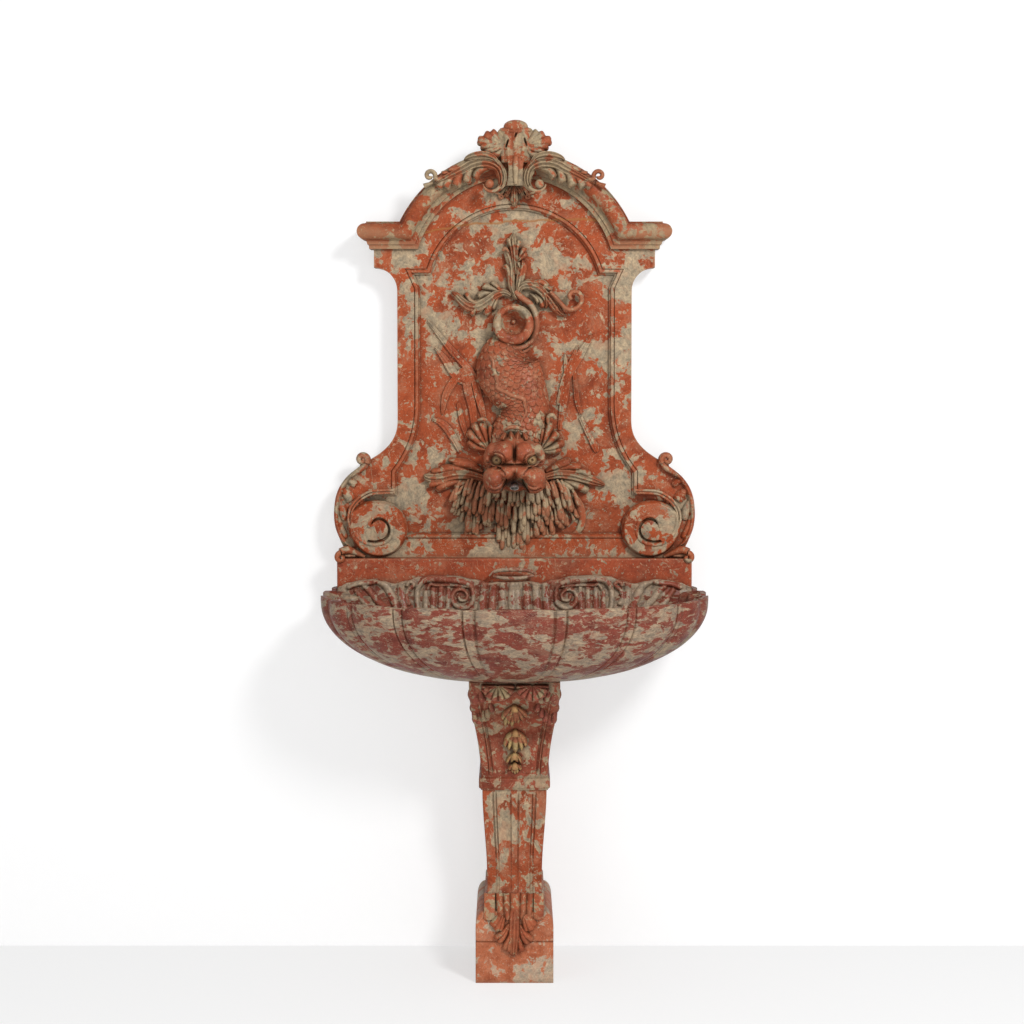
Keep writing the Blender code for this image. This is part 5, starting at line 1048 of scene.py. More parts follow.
section = cornice_section()
ARCH_PARTS = 96


def cornice_spot(i, j):
    """Rows run from the left return over the arch to the right one."""
    out, depth = section[i % len(section)]
    level = CORNICE_LOW + out
    radius = ARCH + out
    start = math.pi - math.asin((level - ARCH_CENTRE) / radius)
    rows = ARCH_PARTS + 6
    side = 1 if j > rows / 2 else -1
    k = j if side < 0 else rows - j
    end = 0.3343 + max(0.0, depth - CORNICE_SEAT)
    if k == 0:
        return place(side * 0.33, 0.0, CORNICE_LOW + 0.5 * CORNICE_TALL)
    if k == 1:
        return place(side * end, 0.0, level)
    if k == 2:
        return place(side * end, depth, level)
    angle = start - (2 * start - math.pi) * (j - 3) / ARCH_PARTS
    return place(radius * math.cos(angle), depth, ARCH_CENTRE + radius * math.sin(angle))


cornice_marble = marble(
    "cornice_marble", (0.305, 0.066, 0.024), (0.20, 0.040, 0.016), (0.40, 0.290, 0.165),
    (0.23, 0.180, 0.115),
    cover=0.44, stretch=(1.3, 1.3, 1.3), roughness=0.45, patina_shade_and_highlight=0.75,
)
cornice = bmesh.new()
skin(cornice, len(section), ARCH_PARTS + 6, cornice_spot)
carved("arched_moulding", cornice, cornice_marble, "red_marble", "arched_cornice", crisp=30)


# Crest. A fan of acanthus stands on the crown of the arch under a smooth dome; two leafy arms
# roll out of small scrolls at its root and run down the arch to a curl each.
crest_stone = marble(
    "crest_marble", (0.330, 0.085, 0.036), (0.21, 0.050, 0.022), (0.44, 0.325, 0.190), (0.26, 0.205, 0.135),
    cover=0.58, stretch=(1.3, 1.3, 1.3), roughness=0.50, patina_shade_and_highlight=0.85,
)
CREST_SEAT = 0.0995
fan = bmesh.new()
CREST_LEAF = mm(((1900, 34), (1922, 36), (1940, 40), (1958, 43), (1970, 43), (1980, 36)))
SLITS = mm(((-17.5, 1943, 3.5), (25.5, 1947, -3.5), (4, 1966.5, 4)))


def fan_spot(i, j):
    """Rows run up the leaf under the dome; columns run across its front."""
    across, rows = 120, 60
    share = min(max(j - 1, 0), rows) / rows
    z = 1.900 + 0.080 * share
    if i in (0, across + 2, across + 3) or j in (0, rows + 2):
        return place(0.003, CREST_SEAT + 0.002, z)
    a = -1 + 2 * (i - 1) / across
    x = 0.003 + smooth_between(CREST_LEAF, z) * a
    ridge = 0.5 + 0.5 * math.cos(math.pi * 4 * a)
    lift = (0.019 + 0.009 * math.sin(math.pi * share)) * (1 - 0.5 * abs(a) ** 2.5) * (0.84 + 0.16 * ridge)
    for at, level, tilt in SLITS:
        off = x - at - tilt * (z - level) / 0.012
        lift -= 0.014 * math.exp(-((off / 0.0019) ** 2) - ((z - level) / 0.0085) ** 4)
    return place(x, CREST_SEAT + max(0.003, lift), z)


skin(fan, 123, 62, fan_spot)
for hand in (-1, 1):
    for mid, tip, wide in mm((
        ((43, 1958), (56, 1972.5), 10.5), ((48, 1953), (71, 1966), 11.5), ((55, 1946), (86.5, 1952), 12),
        ((52, 1938), (80, 1938), 10.5), ((46, 1930), (71, 1925.5), 9.5), ((40, 1920), (56, 1918), 8.5),
    )):
        finger(fan, *turned(hand, ((0.022, 1.938), mid, tip)), wide, 0.0205, CREST_SEAT)
root = mm(((3, 1846, 22, 13), (3, 1862, 19, 18), (3, 1885, 17, 21), (3, 1912, 20, 21)))
leaf(
    fan, [(*row, CREST_SEAT) for row in threaded(root, 8)], 1, notch=0.0, lean=0.0, across=40, flutes=0.0,
    edge=0.8,
)
stem = mm(((3, 113, 1850, 5.5), (3, 120, 1880, 7), (3, 120, 1905, 6.5), (3.5, 116, 1915, 4)))
rod(fan, threaded(stem, 8), sides=14)
for depth, z, wide, deep, tall in mm(((108, 1983.5, 28.5, 20, 15.8), (105, 1974.5, 40, 18, 11))):
    ball(fan, (0.003, depth, z), (wide, deep, tall), sides=48, rings=24)
carved("crest_fan", fan, crest_stone, "carved_marble", "crest_shell")

for hand, node in ((-1, "crest_scroll_left"), (1, "crest_scroll_right")):
    arm = bmesh.new()
    band = mm((
        (45.1, 1833, 6, 16), (33.1, 1846.3, 10, 22), (30, 1864.9, 13.5, 26), (37.5, 1886.2, 15, 29),
        (57.1, 1898.1, 18.5, 30), (79.7, 1900, 19.5, 28), (100.9, 1894.5, 19, 25), (119.6, 1884, 17.5, 23),
        (140.8, 1873.5, 15.5, 21), (162.1, 1862.5, 12, 18), (178.1, 1854.5, 8, 16), (186, 1849, 3, 12),
    ))
    leaf(
        arm, turned(hand, [(*row, CREST_SEAT) for row in threaded(band, 9)]), 4, notch=0.22, lean=0.7,
        across=44, flutes=2.0, edge=0.45,
    )
    upper = mm((
        (38, 1893, 5, 26), (50, 1909, 8, 31), (70, 1916, 9.5, 32), (92, 1915, 8.5, 30), (109, 1910, 6, 26),
        (118, 1904.5, 2, 18),
    ))
    leaf(
        arm, turned(hand, [(*row, CREST_SEAT) for row in threaded(upper, 8)]), 1, notch=0.0, lean=0.3,
        across=22, flutes=1.0, edge=0.7,
    )
    for root, mid, tip, wide, rise in mm((
        ((60, 1887), (82, 1881), (95.5, 1864), 10, 27),
        ((94, 1891), (108, 1875), (114.3, 1853.5), 11.5, 25),
        ((117, 1880), (131, 1865), (139.5, 1845.5), 12, 23),
        ((138, 1871), (154, 1857), (164, 1842.5), 11, 21), ((156, 1863), (170, 1853), (180, 1842), 9, 19),
        ((118, 1888), (136, 1886), (156, 1881), 7, 22), ((148, 1876), (160, 1876), (171.5, 1874), 6, 18),
    )):
        finger(arm, *turned(hand, (root, mid, tip)), wide, rise, CREST_SEAT - 0.003)
    ball(arm, (hand * 0.0584, 0.117, 1.8490), (0.0105, 0.0110, 0.0110), sides=28, rings=16)
    lip = mm((
        (34, 117, 1843, 4), (44, 119, 1834.5, 4.2), (58, 119, 1832.5, 4), (69, 117, 1839.5, 3.4),
        (73, 113, 1848, 2),
    ))
    rod(arm, turned(hand, threaded(lip, 8)), sides=12)
    end = [(0.1700, 0.108, 1.8640, 0.0045), (0.1800, 0.112, 1.8600, 0.0052)]
    end += curl(0.1985, 0.112, 1.8690, 205, -150, 0.0135, 0.003, 0.0056, 0.0048)
    rod(arm, turned(hand, end), sides=14, flat=1.3)
    low = mm(((192, 106, 1853.5, 3), (205, 109, 1848, 5), (213, 109, 1845, 5.8)))
    rod(arm, turned(hand, threaded(low, 8)), sides=12)
    carved(node.replace("scroll", "arm"), arm, crest_stone, "carved_marble", node)

pendant = bmesh.new()
for hand in (-1, 1):
    side_lobe = mm((
        (4, 1848, 4, 12, 60), (13, 1838, 8, 18, 60), (19, 1827, 6, 15, 60), (20, 1821, 2, 10, 60),
    ))
    leaf(pendant, turned(hand, threaded(side_lobe, 8)), 2, notch=0.2, across=18)
    stalk = mm(((14, 66, 1846, 3), (25, 68, 1838, 3.6), (31, 68, 1829, 3.6)))
    rod(pendant, turned(hand, threaded(stalk, 8)), sides=10)
    rod(
        pendant, curl(hand * 0.0305, 0.068, 1.8240, 90, 90 - hand * 450, 0.0062, 0.001, 0.0032, 0.0028),
        sides=10,
    )
    branch = mm(((31, 68, 1829, 3.6), (46, 68, 1834, 3.4), (60.5, 66, 1840, 3)))
    rod(pendant, turned(hand, threaded(branch, 8)), sides=10)
middle_lobe = mm((
    (0, 1850, 6, 14, 60), (0, 1836, 10, 21, 60), (0, 1818, 10, 21, 60), (0, 1806, 6, 17, 60),
    (0, 1800, 2, 12, 60),
))
leaf(pendant, threaded(middle_lobe, 8), 3, notch=0.22, across=22)
carved("crest_pendant", pendant, crest_stone, "carved_marble", "crest_drop")


# Reeds. Two clumps of marsh reeds stand out a few millimetres behind the dolphin; one blade on
# the left is bent over and broken. They are cut from the panel's own stone.
FIELD_SEAT = 0.0500
for hand, node, blades in (
    (-1, "reeds_left", mm((
        ((-206, 1530, 3), (-158, 1470, 7), (-103, 1405, 9), (-86, 1350, 9), (-73, 1300, 6)),
        ((-189, 1467, 3), (-165, 1437, 8), (-140, 1400, 10), (-110, 1380, 7)),
        ((-108, 1418, 4), (-122, 1410, 9), (-146, 1385, 9), (-165, 1350, 8), (-172, 1308, 3)),
        ((-116, 1412, 9), (-112, 1370, 10), (-100, 1320, 9), (-96, 1270, 6)),
        ((-196.5, 1297, 3), (-170, 1283, 8), (-146, 1252, 9), (-129, 1216, 4)),
        ((-134, 1335, 4), (-125, 1290, 6), (-112, 1250, 4)),
    ))),
    (1, "reeds_right", mm((
        ((185, 1496, 3), (160, 1455, 9), (132, 1410, 11), (111, 1363, 5)),
        ((120, 1450, 3), (126, 1400, 8), (118, 1340, 9), (108, 1270, 5)),
        ((142.5, 1412, 4), (146, 1380, 5), (150, 1340, 6), (159, 1308, 4)),
        ((158, 1300, 5), (176, 1262, 6), (192, 1232, 8), (198, 1217, 5)),
        ((150, 1470, 2), (136, 1430, 7), (118, 1385, 7), (104, 1330, 4)),
    ))),
):
    reeds = bmesh.new()
    for blade in blades:
        rows = [(x, z, half, 0.0075, FIELD_SEAT) for x, z, half in threaded(blade, 9)]
        leaf(reeds, rows, 1, notch=0.0, across=18, lean=0.0, flutes=1.0, edge=0.75)
    carved(node.replace("reeds", "reed_clump"), reeds, panel_marble, "red_marble", node)


# Dolphin's body. A fat S of marble with a wavy ridge along its back and overlapping scales
# engraved all over; the tail rolls into a dished ring above it.
dolphin_stone = marble(
    "dolphin_marble", (0.330, 0.082, 0.036), (0.20, 0.046, 0.021), (0.46, 0.345, 0.205),
    (0.27, 0.215, 0.145),
    cover=0.20, stretch=(1.2, 1.2, 1.2), roughness=0.42, patina_shade_and_highlight=0.90, coat=0.06,
)
SPINE = mm((
    (3.5, 1222, 64), (3.5, 1252, 62), (20, 1295, 57.5), (23, 1334, 60.5), (4, 1375, 71.5),
    (-15.5, 1415, 76.5), (-16, 1448, 64), (-4, 1474, 46), (12, 1490, 30),
))
SCALE = 0.0215
spine = threaded(SPINE, 34)
spine_run = [0.0]
for a, b in zip(spine, spine[1:]):
    spine_run.append(spine_run[-1] + math.hypot(b[0] - a[0], b[1] - a[1]))


def scale_relief(along, around):
    """Round scales laid like tiles, each over the row below it, with a cut line round each."""
    pitch, reach = 0.55 * SCALE, 0.60 * SCALE
    top_row = math.floor(along / pitch) + 2
    for k in range(top_row, top_row - 5, -1):
        shift = 0.5 if k % 2 else 0.0
        middle = (math.floor(around / SCALE - shift + 0.5) + shift) * SCALE
        away = math.hypot(around - middle, along - k * pitch)
        if away < reach:
            lift = 0.35 + 0.65 * max(0.0, (k * pitch - along) / reach)
            return lift * min(1.0, (reach - away) / 0.0028)
    return 0.0


body = bmesh.new()
BODY_AROUND = 190


def body_spot(i, j):
    last = len(spine) - 1
    k = min(max(j - 1, 0), last)
    x, z, half = spine[k]
    before, after = spine[max(k - 1, 0)], spine[min(k + 1, last)]
    ahead = Vector((after[0] - before[0], 0.0, after[1] - before[1])).normalized()
    side = Vector((ahead.z, 0.0, -ahead.x))
    turn = math.pi * (i % BODY_AROUND) / (BODY_AROUND - 24) if i % BODY_AROUND <= BODY_AROUND - 24 else None
    if j in (0, last + 2):
        return place(x, FIELD_SEAT, z)
    deep = min(0.0540, half * 0.80)
    if turn is None:
        share = (i % BODY_AROUND - (BODY_AROUND - 24)) / 24
        return place(x, FIELD_SEAT - 0.002, z) + side * half * (-1 + 2 * share)
    across, out = math.cos(turn), max(0.0, math.sin(turn)) ** 0.85
    relief = 0.0046 * scale_relief(spine_run[k], half * 1.15 * (turn - math.pi / 2)) * min(1.0, out * 3)
    ground = place(x, FIELD_SEAT, z)
    return ground + side * across * (half + relief - 0.0012) - Vector((0, out * (deep + relief), 0))


skin(body, BODY_AROUND, len(spine) + 1, body_spot)
RIDGE = mm((
    (-56, 1446), (-44, 1404), (-38, 1372), (-11, 1356.5), (22.3, 1341.5), (25.3, 1311), (13.3, 1281),
))
ridge_rows = []
for n, (x, z) in enumerate(threaded(RIDGE, 12)):
    near = min(spine, key=lambda row: abs(row[1] - z))
    away = min(0.97, abs(x - near[0]) / near[2])
    depth = FIELD_SEAT + min(0.0540, near[2] * 0.80) * (1 - away**2) ** 0.42 + 0.0015
    radius = 0.0056 * math.sin(math.pi * min(0.96, 0.14 + 0.85 * n / 72)) + 0.0008
    ridge_rows.append((x + 0.0018 * math.sin(n * 0.45), depth, z, radius))
rod(body, ridge_rows, sides=10)
carved("scaly_body", body, dolphin_stone, "carved_marble", "dolphin_body")

coil = bmesh.new()
COIL = (-0.0024, 1.524)


def coil_spot(i, j):
    """A dished disc with a rolled rim and a cracked button; its rows run from the middle out."""
    turn = 2 * math.pi * i / 120
    profile = [(0.0, 0.0690)]
    profile += [(0.0065 * math.sin(a), 0.0600 + 0.0090 * math.cos(a)) for a in stations(0.2, 1.57, 5)]
    profile += [(0.0065 + 0.0225 * s, 0.0600 + 0.0180 * s**1.6) for s in stations(0.05, 1, 14)]
    profile += [(0.0385 - 0.01 * math.cos(a), 0.088 + 0.0105 * math.sin(a)) for a in stations(-0.4, 3.2, 20)]
    profile += [(0.0470, 0.0700), (0.0460, 0.0480), (0.0, 0.0480)]
    reach, depth = profile[min(j, len(profile) - 1)]
    if 0.008 < reach < 0.030:
        depth -= 0.0016 * abs(math.sin(3.5 * turn + 2.0 * math.sin(130 * reach))) ** 0.3
    elif reach >= 0.030 and depth > 0.080:
        depth += 0.0007 * math.cos(14 * turn + 90 * reach)
    lift = 0.0065 * max(0.0, 1 - (reach / 0.044) ** 2) ** 0.5
    return place(COIL[0] + reach * math.cos(turn), depth, COIL[1] - 0.003 + lift + reach * math.sin(turn))


skin(coil, 120, 44, coil_spot)
for rows in mm((
    ((-50, 60, 1490, 4.5), (-30, 74, 1473.5, 5.5), (-8, 84, 1466, 6), (18, 84, 1467, 6),
        (38, 74, 1480, 5.5), (52, 62, 1499, 4.5)),
    ((-30, 66, 1464, 3.5), (-6, 78, 1456, 4.5), (22, 76, 1457, 4.5), (42, 62, 1470, 3.5)),
    ((34, 60, 1476, 6), (48, 70, 1497, 8), (52, 75, 1524, 8.5), (48, 72, 1548, 8), (37, 68, 1569, 8),
        (18, 66, 1584, 7.5), (2, 64, 1600, 6.5)),
)):
    rod(coil, threaded(rows, 10), sides=14)
carved("tail_ring", coil, dolphin_stone, "carved_marble", "tail_coil")


# Tail fins. Leafy fins spring from the ring: a plume straight up and a frond to each side.
fin_stone = marble(
    "fin_marble", (0.330, 0.084, 0.036), (0.21, 0.048, 0.021), (0.46, 0.345, 0.205), (0.27, 0.215, 0.145),
    cover=0.46, stretch=(1.4, 1.4, 1.4), roughness=0.48, patina_shade_and_highlight=0.85,
)


def fin_piece(name, node, bands, fingers, rolls=(), rise=0.022):
    """Bands are leaf rows of (x, z, half width), fingers are (root, middle, tip, half width) and
    rolls are rod rows, all three in millimetres."""
    fin = bmesh.new()
    for rows in mm(bands):
        line = []
        for x, z, half in threaded(rows, 9):
            line.append((x, z, half, rise * min(1.0, 0.65 + 0.35 * half / 0.010), FIELD_SEAT))
        ridges = 1.5 if max(row[2] for row in rows) > 0.012 else 1.0
        leaf(fin, line, 1, notch=0.0, lean=0.2, across=30, flutes=ridges, edge=0.45)
    for root, mid, tip, wide in mm(fingers):
        finger(fin, root, mid, tip, wide, rise, FIELD_SEAT)
    for rows in mm(rolls):
        rod(fin, threaded(rows, 7), sides=12, flat=1.4)
    carved(name, fin, fin_stone, "carved_marble", node)


fin_piece("tail_plume_leaf", "tail_plume", (
    ((6, 1580, 6), (-2.4, 1597.2, 7.5), (-7.2, 1616.4, 8.5), (-7.2, 1638.1, 9.5), (-7.9, 1659.7, 9.5),
        (-13.2, 1681.3, 9.5), (-20.4, 1696.9, 7), (-25.2, 1700, 2)),
    ((4, 1640, 6), (1, 1670, 9), (-1.2, 1700, 12.5), (-4.5, 1720, 11), (-2.4, 1736.5, 3)),
    ((6, 1598, 6), (11.5, 1620, 9.5), (15.6, 1642.9, 11.5), (19, 1660, 10.5), (18, 1674.1, 3)),
), (
    ((-11, 1620), (-14, 1648), (-22.5, 1664), 7.5), ((5, 1690), (8, 1706), (11.5, 1721), 6.5),
    ((-6, 1698), (-11, 1713), (-13.5, 1726), 6), ((8, 1675), (18, 1692), (24, 1704), 7),
    ((8, 1670), (20, 1682), (28.5, 1690.5), 6.5), ((15, 1650), (11, 1662), (8.5, 1670), 5),
), (((-15, 70, 1694, 3), (-22, 74, 1701, 4.5), (-27, 72, 1696, 4)),))
fin_piece("tail_frond_leaf_left", "tail_frond_left", (
    ((-8, 1590, 6), (-25.2, 1597.2, 10), (-44.4, 1592.4, 13), (-63.6, 1578, 15), (-82.8, 1566, 16.5),
        (-104.4, 1564, 15), (-123.7, 1576, 11.5), (-138.1, 1590, 7.5), (-148.9, 1598.5, 2)),
), (
    ((-44.4, 1582.8), (-58.8, 1563), (-69, 1543), 9.5), ((-39.6, 1585.2), (-46, 1570), (-51, 1556), 6.5),
    ((-82.8, 1570.8), (-104.4, 1578), (-116, 1596.5), 6), ((-54, 1597.2), (-72, 1595), (-87, 1587), 8.5),
    ((-34.8, 1600), (-57, 1608), (-76, 1613), 8.5), ((-90, 1562), (-98, 1552), (-103, 1544), 7),
    ((-30, 1596), (-42, 1612), (-56, 1622), 6),
))
fin_piece("tail_frond_leaf_right", "tail_frond_right", (
    ((8.4, 1594.8, 8), (13.2, 1609, 10), (30, 1616, 12), (51.6, 1611, 14), (68.4, 1598, 13),
        (76.8, 1580.4, 10), (74, 1560, 3)),
    ((56, 1606, 8), (80.4, 1587.6, 13), (94.8, 1568, 13), (106.8, 1552, 9.5), (118.9, 1541, 3)),
), (
    ((37.2, 1618), (61.2, 1622), (80, 1611), 7.5), ((60, 1615), (78, 1608), (89, 1601), 6),
    ((37.2, 1594.8), (50, 1585), (57.6, 1572), 6), ((49.2, 1592.4), (62, 1578), (68.4, 1561.2), 6.5),
    ((90, 1576), (100, 1562), (102, 1550), 6),
), (
    ((85, 72, 1599, 4), (104.5, 73, 1578, 5.2), (118.9, 73, 1562, 5.5), (133.3, 72, 1556, 5.5),
        (150.1, 71, 1562, 5.5), (159.7, 71, 1578, 5.5), (154.9, 71, 1594, 5.5), (140.5, 72, 1599, 5.5),
        (130.9, 73, 1591, 5.5), (134, 73, 1580, 4.5)),
))


# Dolphin's head. A snub grotesque head with two heavy brows, ringed yellowish eyes, a broad
# nose and two muzzle lobes with folds in them; the water pipe comes out of its dark mouth.
LUMPS = mm((
    ((0, 112, 1198), (68, 72, 60)), ((0, 150, 1182), (62, 50, 44)), ((25, 180, 1222), (26.5, 33, 25)),
    ((48, 163, 1224), (19, 30, 20)), ((62.5, 150, 1208), (10, 28, 20)), ((0, 196, 1185), (22, 34, 11)),
    ((20, 206, 1176), (20, 36, 15)), ((45, 194, 1164), (27, 40, 25)), ((44, 188, 1144), (24.5, 40, 18)),
    ((60, 170, 1160), (14, 35, 23)), ((0, 85, 1160), (50, 35, 36)),
))
CHEEK = (0.0455, 1.1625)
EYE_AT = (0.0412, 1.2045)
EYE_DEPTH = 0.1830


def bell(value):
    return numpy.exp(-(value**2))


def head_field(x, depth, z):
    """Below nought inside the head: its lumps melted into each other, less folds and mouth."""
    x = numpy.abs(x)
    total = 0.0
    for (cx, cd, cz), (rx, rd, rz) in LUMPS:
        away = numpy.sqrt(((x - cx) / rx) ** 2 + ((depth - cd) / rd) ** 2 + ((z - cz) / rz) ** 2)
        total = total + numpy.exp(-15.0 * (away - 1.0) * min(rx, rz) / 0.030)
    field = -numpy.log(total + 1e-9) / 15.0 * 0.030
    ahead = numpy.clip((depth - 0.140) / 0.03, 0.0, 1.0)
    oval = numpy.sqrt(((x - CHEEK[0]) / 0.0265) ** 2 + ((z - CHEEK[1]) / 0.0270) ** 2)
    bearing = numpy.arctan2(z - CHEEK[1], x - CHEEK[0])
    inward = numpy.clip((numpy.abs(bearing) - 1.0) / 0.3, 0.0, 1.0) * (bearing < 2.75)
    inward = numpy.maximum(inward, (bearing < -0.9) * 1.0)
    field = field + ahead * inward * 0.0034 * bell((oval - 1.0) / 0.055)
    fold = (bearing < 0.6) * numpy.clip(0.9 - numpy.cos(bearing), 0.0, 1.0)
    field = field + ahead * fold * 0.0020 * bell((oval - 0.66) / 0.05)
    field = field - ahead * 0.0026 * bell(oval / 0.5)
    field = field + ahead * 0.0060 * bell(x / 0.0030) * numpy.clip((z - 1.196) / 0.006, 0.0, 1.0)
    line = z - 1.1935 - 0.9 * numpy.clip(x - 0.030, 0.0, 0.02) ** 1.3
    field = field + ahead * 0.0075 * bell(line / 0.0024) * numpy.clip((0.036 - x) / 0.006, 0.0, 1.0)
    eye = numpy.hypot(x - EYE_AT[0], (z - EYE_AT[1]) * 1.04)
    field = field + ahead * 0.0130 * numpy.clip(1.15 - (eye / 0.0128) ** 2, 0.0, 1.0)
    field = field + ahead * 0.0022 * bell((eye - 0.0195) / 0.0016) * (z > 1.196)
    field = field - ahead * 0.0026 * bell((eye - 0.0158) / 0.0022)
    field = field + ahead * 0.0050 * bell(x / 0.0045) * numpy.clip((1.172 - z) / 0.008, 0.0, 1.0)
    mouth = numpy.minimum(1.1565 - 33.0 * x * x - z, (depth - 0.150) * 0.5)
    return numpy.maximum(field, mouth)


def tinted(material, share, colour):
    """Lays a share of another colour over the stone's own."""
    tree = material.node_tree
    colour_in = tree.nodes["Principled BSDF"].inputs["Base Color"]
    tree.links.new(blended(tree, share, colour_in.links[0].from_socket, colour), colour_in)


head = bmesh.new()
bmesh.ops.create_uvsphere(head, u_segments=220, v_segments=150, radius=1.0)
HEAD_MIDDLE = place(0.0, 0.120, 1.187)
rays = numpy.array([(v.co.x, -v.co.z, v.co.y) for v in head.verts])
near, far = numpy.full(len(rays), 0.005), numpy.full(len(rays), 0.150)
for _ in range(22):
    reach = (near + far) / 2
    spots = numpy.array(HEAD_MIDDLE) + rays * reach[:, None]
    inside = head_field(spots[:, 0], WALL - spots[:, 1], spots[:, 2]) < 0
    near, far = numpy.where(inside, reach, near), numpy.where(inside, far, reach)
for vert, ray, reach in zip(head.verts, rays, near):
    vert.co = HEAD_MIDDLE + Vector(ray) * float(reach)
    vert.co.y = min(max(vert.co.y, WALL - 0.2450), WALL - FIELD_SEAT + 0.002)
face_stone = marble(
    "face_marble", (0.335, 0.086, 0.040), (0.21, 0.048, 0.024), (0.46, 0.345, 0.205), (0.27, 0.215, 0.145),
    cover=0.12, stretch=(1.2, 1.2, 1.2), roughness=0.38, patina_shade_and_highlight=0.90, coat=0.10,
)
face_tree = face_stone.node_tree
# Near black round the mouth: a water stain on the stone and painted shade in the mouth's hollow.
from_mouth = {0: spot_on(face_tree), 1: place(0.0, 0.185, 1.133)}
from_mouth = wired(face_tree, "ShaderNodeVectorMath", from_mouth, operation="DISTANCE").outputs["Value"]
mouth_stain_and_shade = stops(face_tree, from_mouth, (0.018, 0.92), (0.036, 0.0))
tinted(face_stone, mouth_stain_and_shade, (0.018, 0.010, 0.006))
carved("dolphin_face", head, face_stone, "carved_marble", "dolphin_head")

eye_stone = marble(
    "eye_marble", (0.34, 0.13, 0.065), (0.22, 0.075, 0.04), (0.50, 0.37, 0.18), (0.34, 0.26, 0.14),
    cover=0.42, stretch=(2.0, 2.0, 2.0), roughness=0.35, patina_shade_and_highlight=0.70, coat=0.2,
)
eye_tree = eye_stone.node_tree
eye_spot = spot_on(eye_tree)
for operation, by in (
    ("ABSOLUTE", (0.0, 0.0, 0.0)), ("SUBTRACT", (EYE_AT[0], 0.0, EYE_AT[1])), ("MULTIPLY", (1.0, 0.0, 1.0)),
):
    eye_spot = wired(eye_tree, "ShaderNodeVectorMath", {0: eye_spot, 1: by}, operation=operation).outputs[0]
from_pupil = wired(eye_tree, "ShaderNodeVectorMath", {0: eye_spot}, operation="LENGTH").outputs["Value"]
# The near-black rings lie in the drilled pupil, the cut ring and the crease round the eye: painted shade.
# The yellowish iris and the red lid are the stone's own.
dark, iris, lid = (0.020, 0.010, 0.006), (0.40, 0.27, 0.125), (0.26, 0.105, 0.050)
eye_rings = stops(
    eye_tree, from_pupil, (0.0032, dark), (0.0042, iris), (0.0076, iris), (0.0085, dark), (0.0094, lid),
    (0.0106, lid), (0.0114, dark),
)
tinted(eye_stone, 0.75, eye_rings)
for name, hand in (("eye_left", -1), ("eye_right", 1)):
    eye = bmesh.new()

    def ringed(i, j, hand=hand):
        """A ball with a rim, a ring cut in it and a drilled pupil; rows run from the middle."""
        turn = 2 * math.pi * i / 64
        reach = 0.0112 * min(j, 40) / 40
        lift = 0.0060 * math.sqrt(max(0.0, 1 - (reach / 0.0120) ** 2))
        lift -= 0.0022 * math.exp(-(((reach - 0.0085) / 0.0009) ** 2))
        lift -= 0.0045 * math.exp(-((reach / 0.0030) ** 4))
        if j >= 41:
            lift = -0.012
        if j == 42:
            reach = 0.0
        x = hand * EYE_AT[0] + reach * math.cos(turn)
        return place(x, EYE_DEPTH + lift - 0.32 * (abs(x) - EYE_AT[0]), EYE_AT[1] + reach * math.sin(turn))

    skin(eye, 64, 42, ringed)
    carved(name, eye, eye_stone, "carved_marble")

tuft = bmesh.new()
for x, z, out, up, wide in mm((
    (9, 1270, 6, 1242.5, 10), (-9, 1270, -6, 1242.5, 10), (20, 1266, 26, 1248, 7),
    (-20, 1266, -26, 1248, 7),
)):
    rows = [
        (x, z, 0.003, 0.014, 0.108), ((x + out) / 2, (z + up) / 2 + 0.002, wide, 0.026, 0.114),
        (out, up + 0.005, wide * 0.8, 0.026, 0.122), (out, up, 0.002, 0.018, 0.128),
    ]
    leaf(tuft, threaded(rows, 8), 1, notch=0.2, across=18, flutes=1.0)
tie = mm(((-24, 112, 1270, 3), (-12, 120, 1277.5, 4.8), (4, 122, 1278.5, 5), (20, 114, 1272, 3)))
rod(tuft, threaded(tie, 8), sides=12)
carved("forehead_tuft", tuft, dolphin_stone, "carved_marble")


# Spout. The drawn water pipe comes out through the stone mouth; its end is pinched to a flat
# oval.
pipe_metal, pipe_tree, pipe_shader = new_material("spout_metal")
pipe_shader.inputs["Metallic"].default_value = 0.9
pipe_shader.inputs["Roughness"].default_value = 0.35
tarnish = {"Vector": spot_on(pipe_tree), "Scale": 220.0, "Detail": 4.0}
tarnish = wired(pipe_tree, "ShaderNodeTexNoise", tarnish).outputs["Fac"]
tarnish = stops(pipe_tree, tarnish, (0.34, (0.34, 0.30, 0.26)), (0.50, (0.80, 0.79, 0.77)))
pipe_tree.links.new(tarnish, pipe_shader.inputs["Base Color"])
spout = bmesh.new()


def spout_spot(i, j):
    """Outside from the panel to the lip, then back down the bore."""
    turn = 2 * math.pi * i / 40
    rows = mm((
        (30.3, 9, 9), (170, 9, 9), (205, 9.2, 7.5), (236, 10, 5), (239, 10.2, 5), (240, 9.4, 4.3),
        (239, 8.6, 3.6), (200, 8, 3.6), (180, 0, 0),
    ))
    depth, wide, tall = (0.0303, 0.0, 0.0) if j == 0 else rows[j - 1]
    return place(wide * math.cos(turn), depth, 1.142 + tall * math.sin(turn))


skin(spout, 40, 9, spout_spot)
carved("spout_mouth", spout, pipe_metal, "grey_pipe", "spout_pipe", crisp=50)


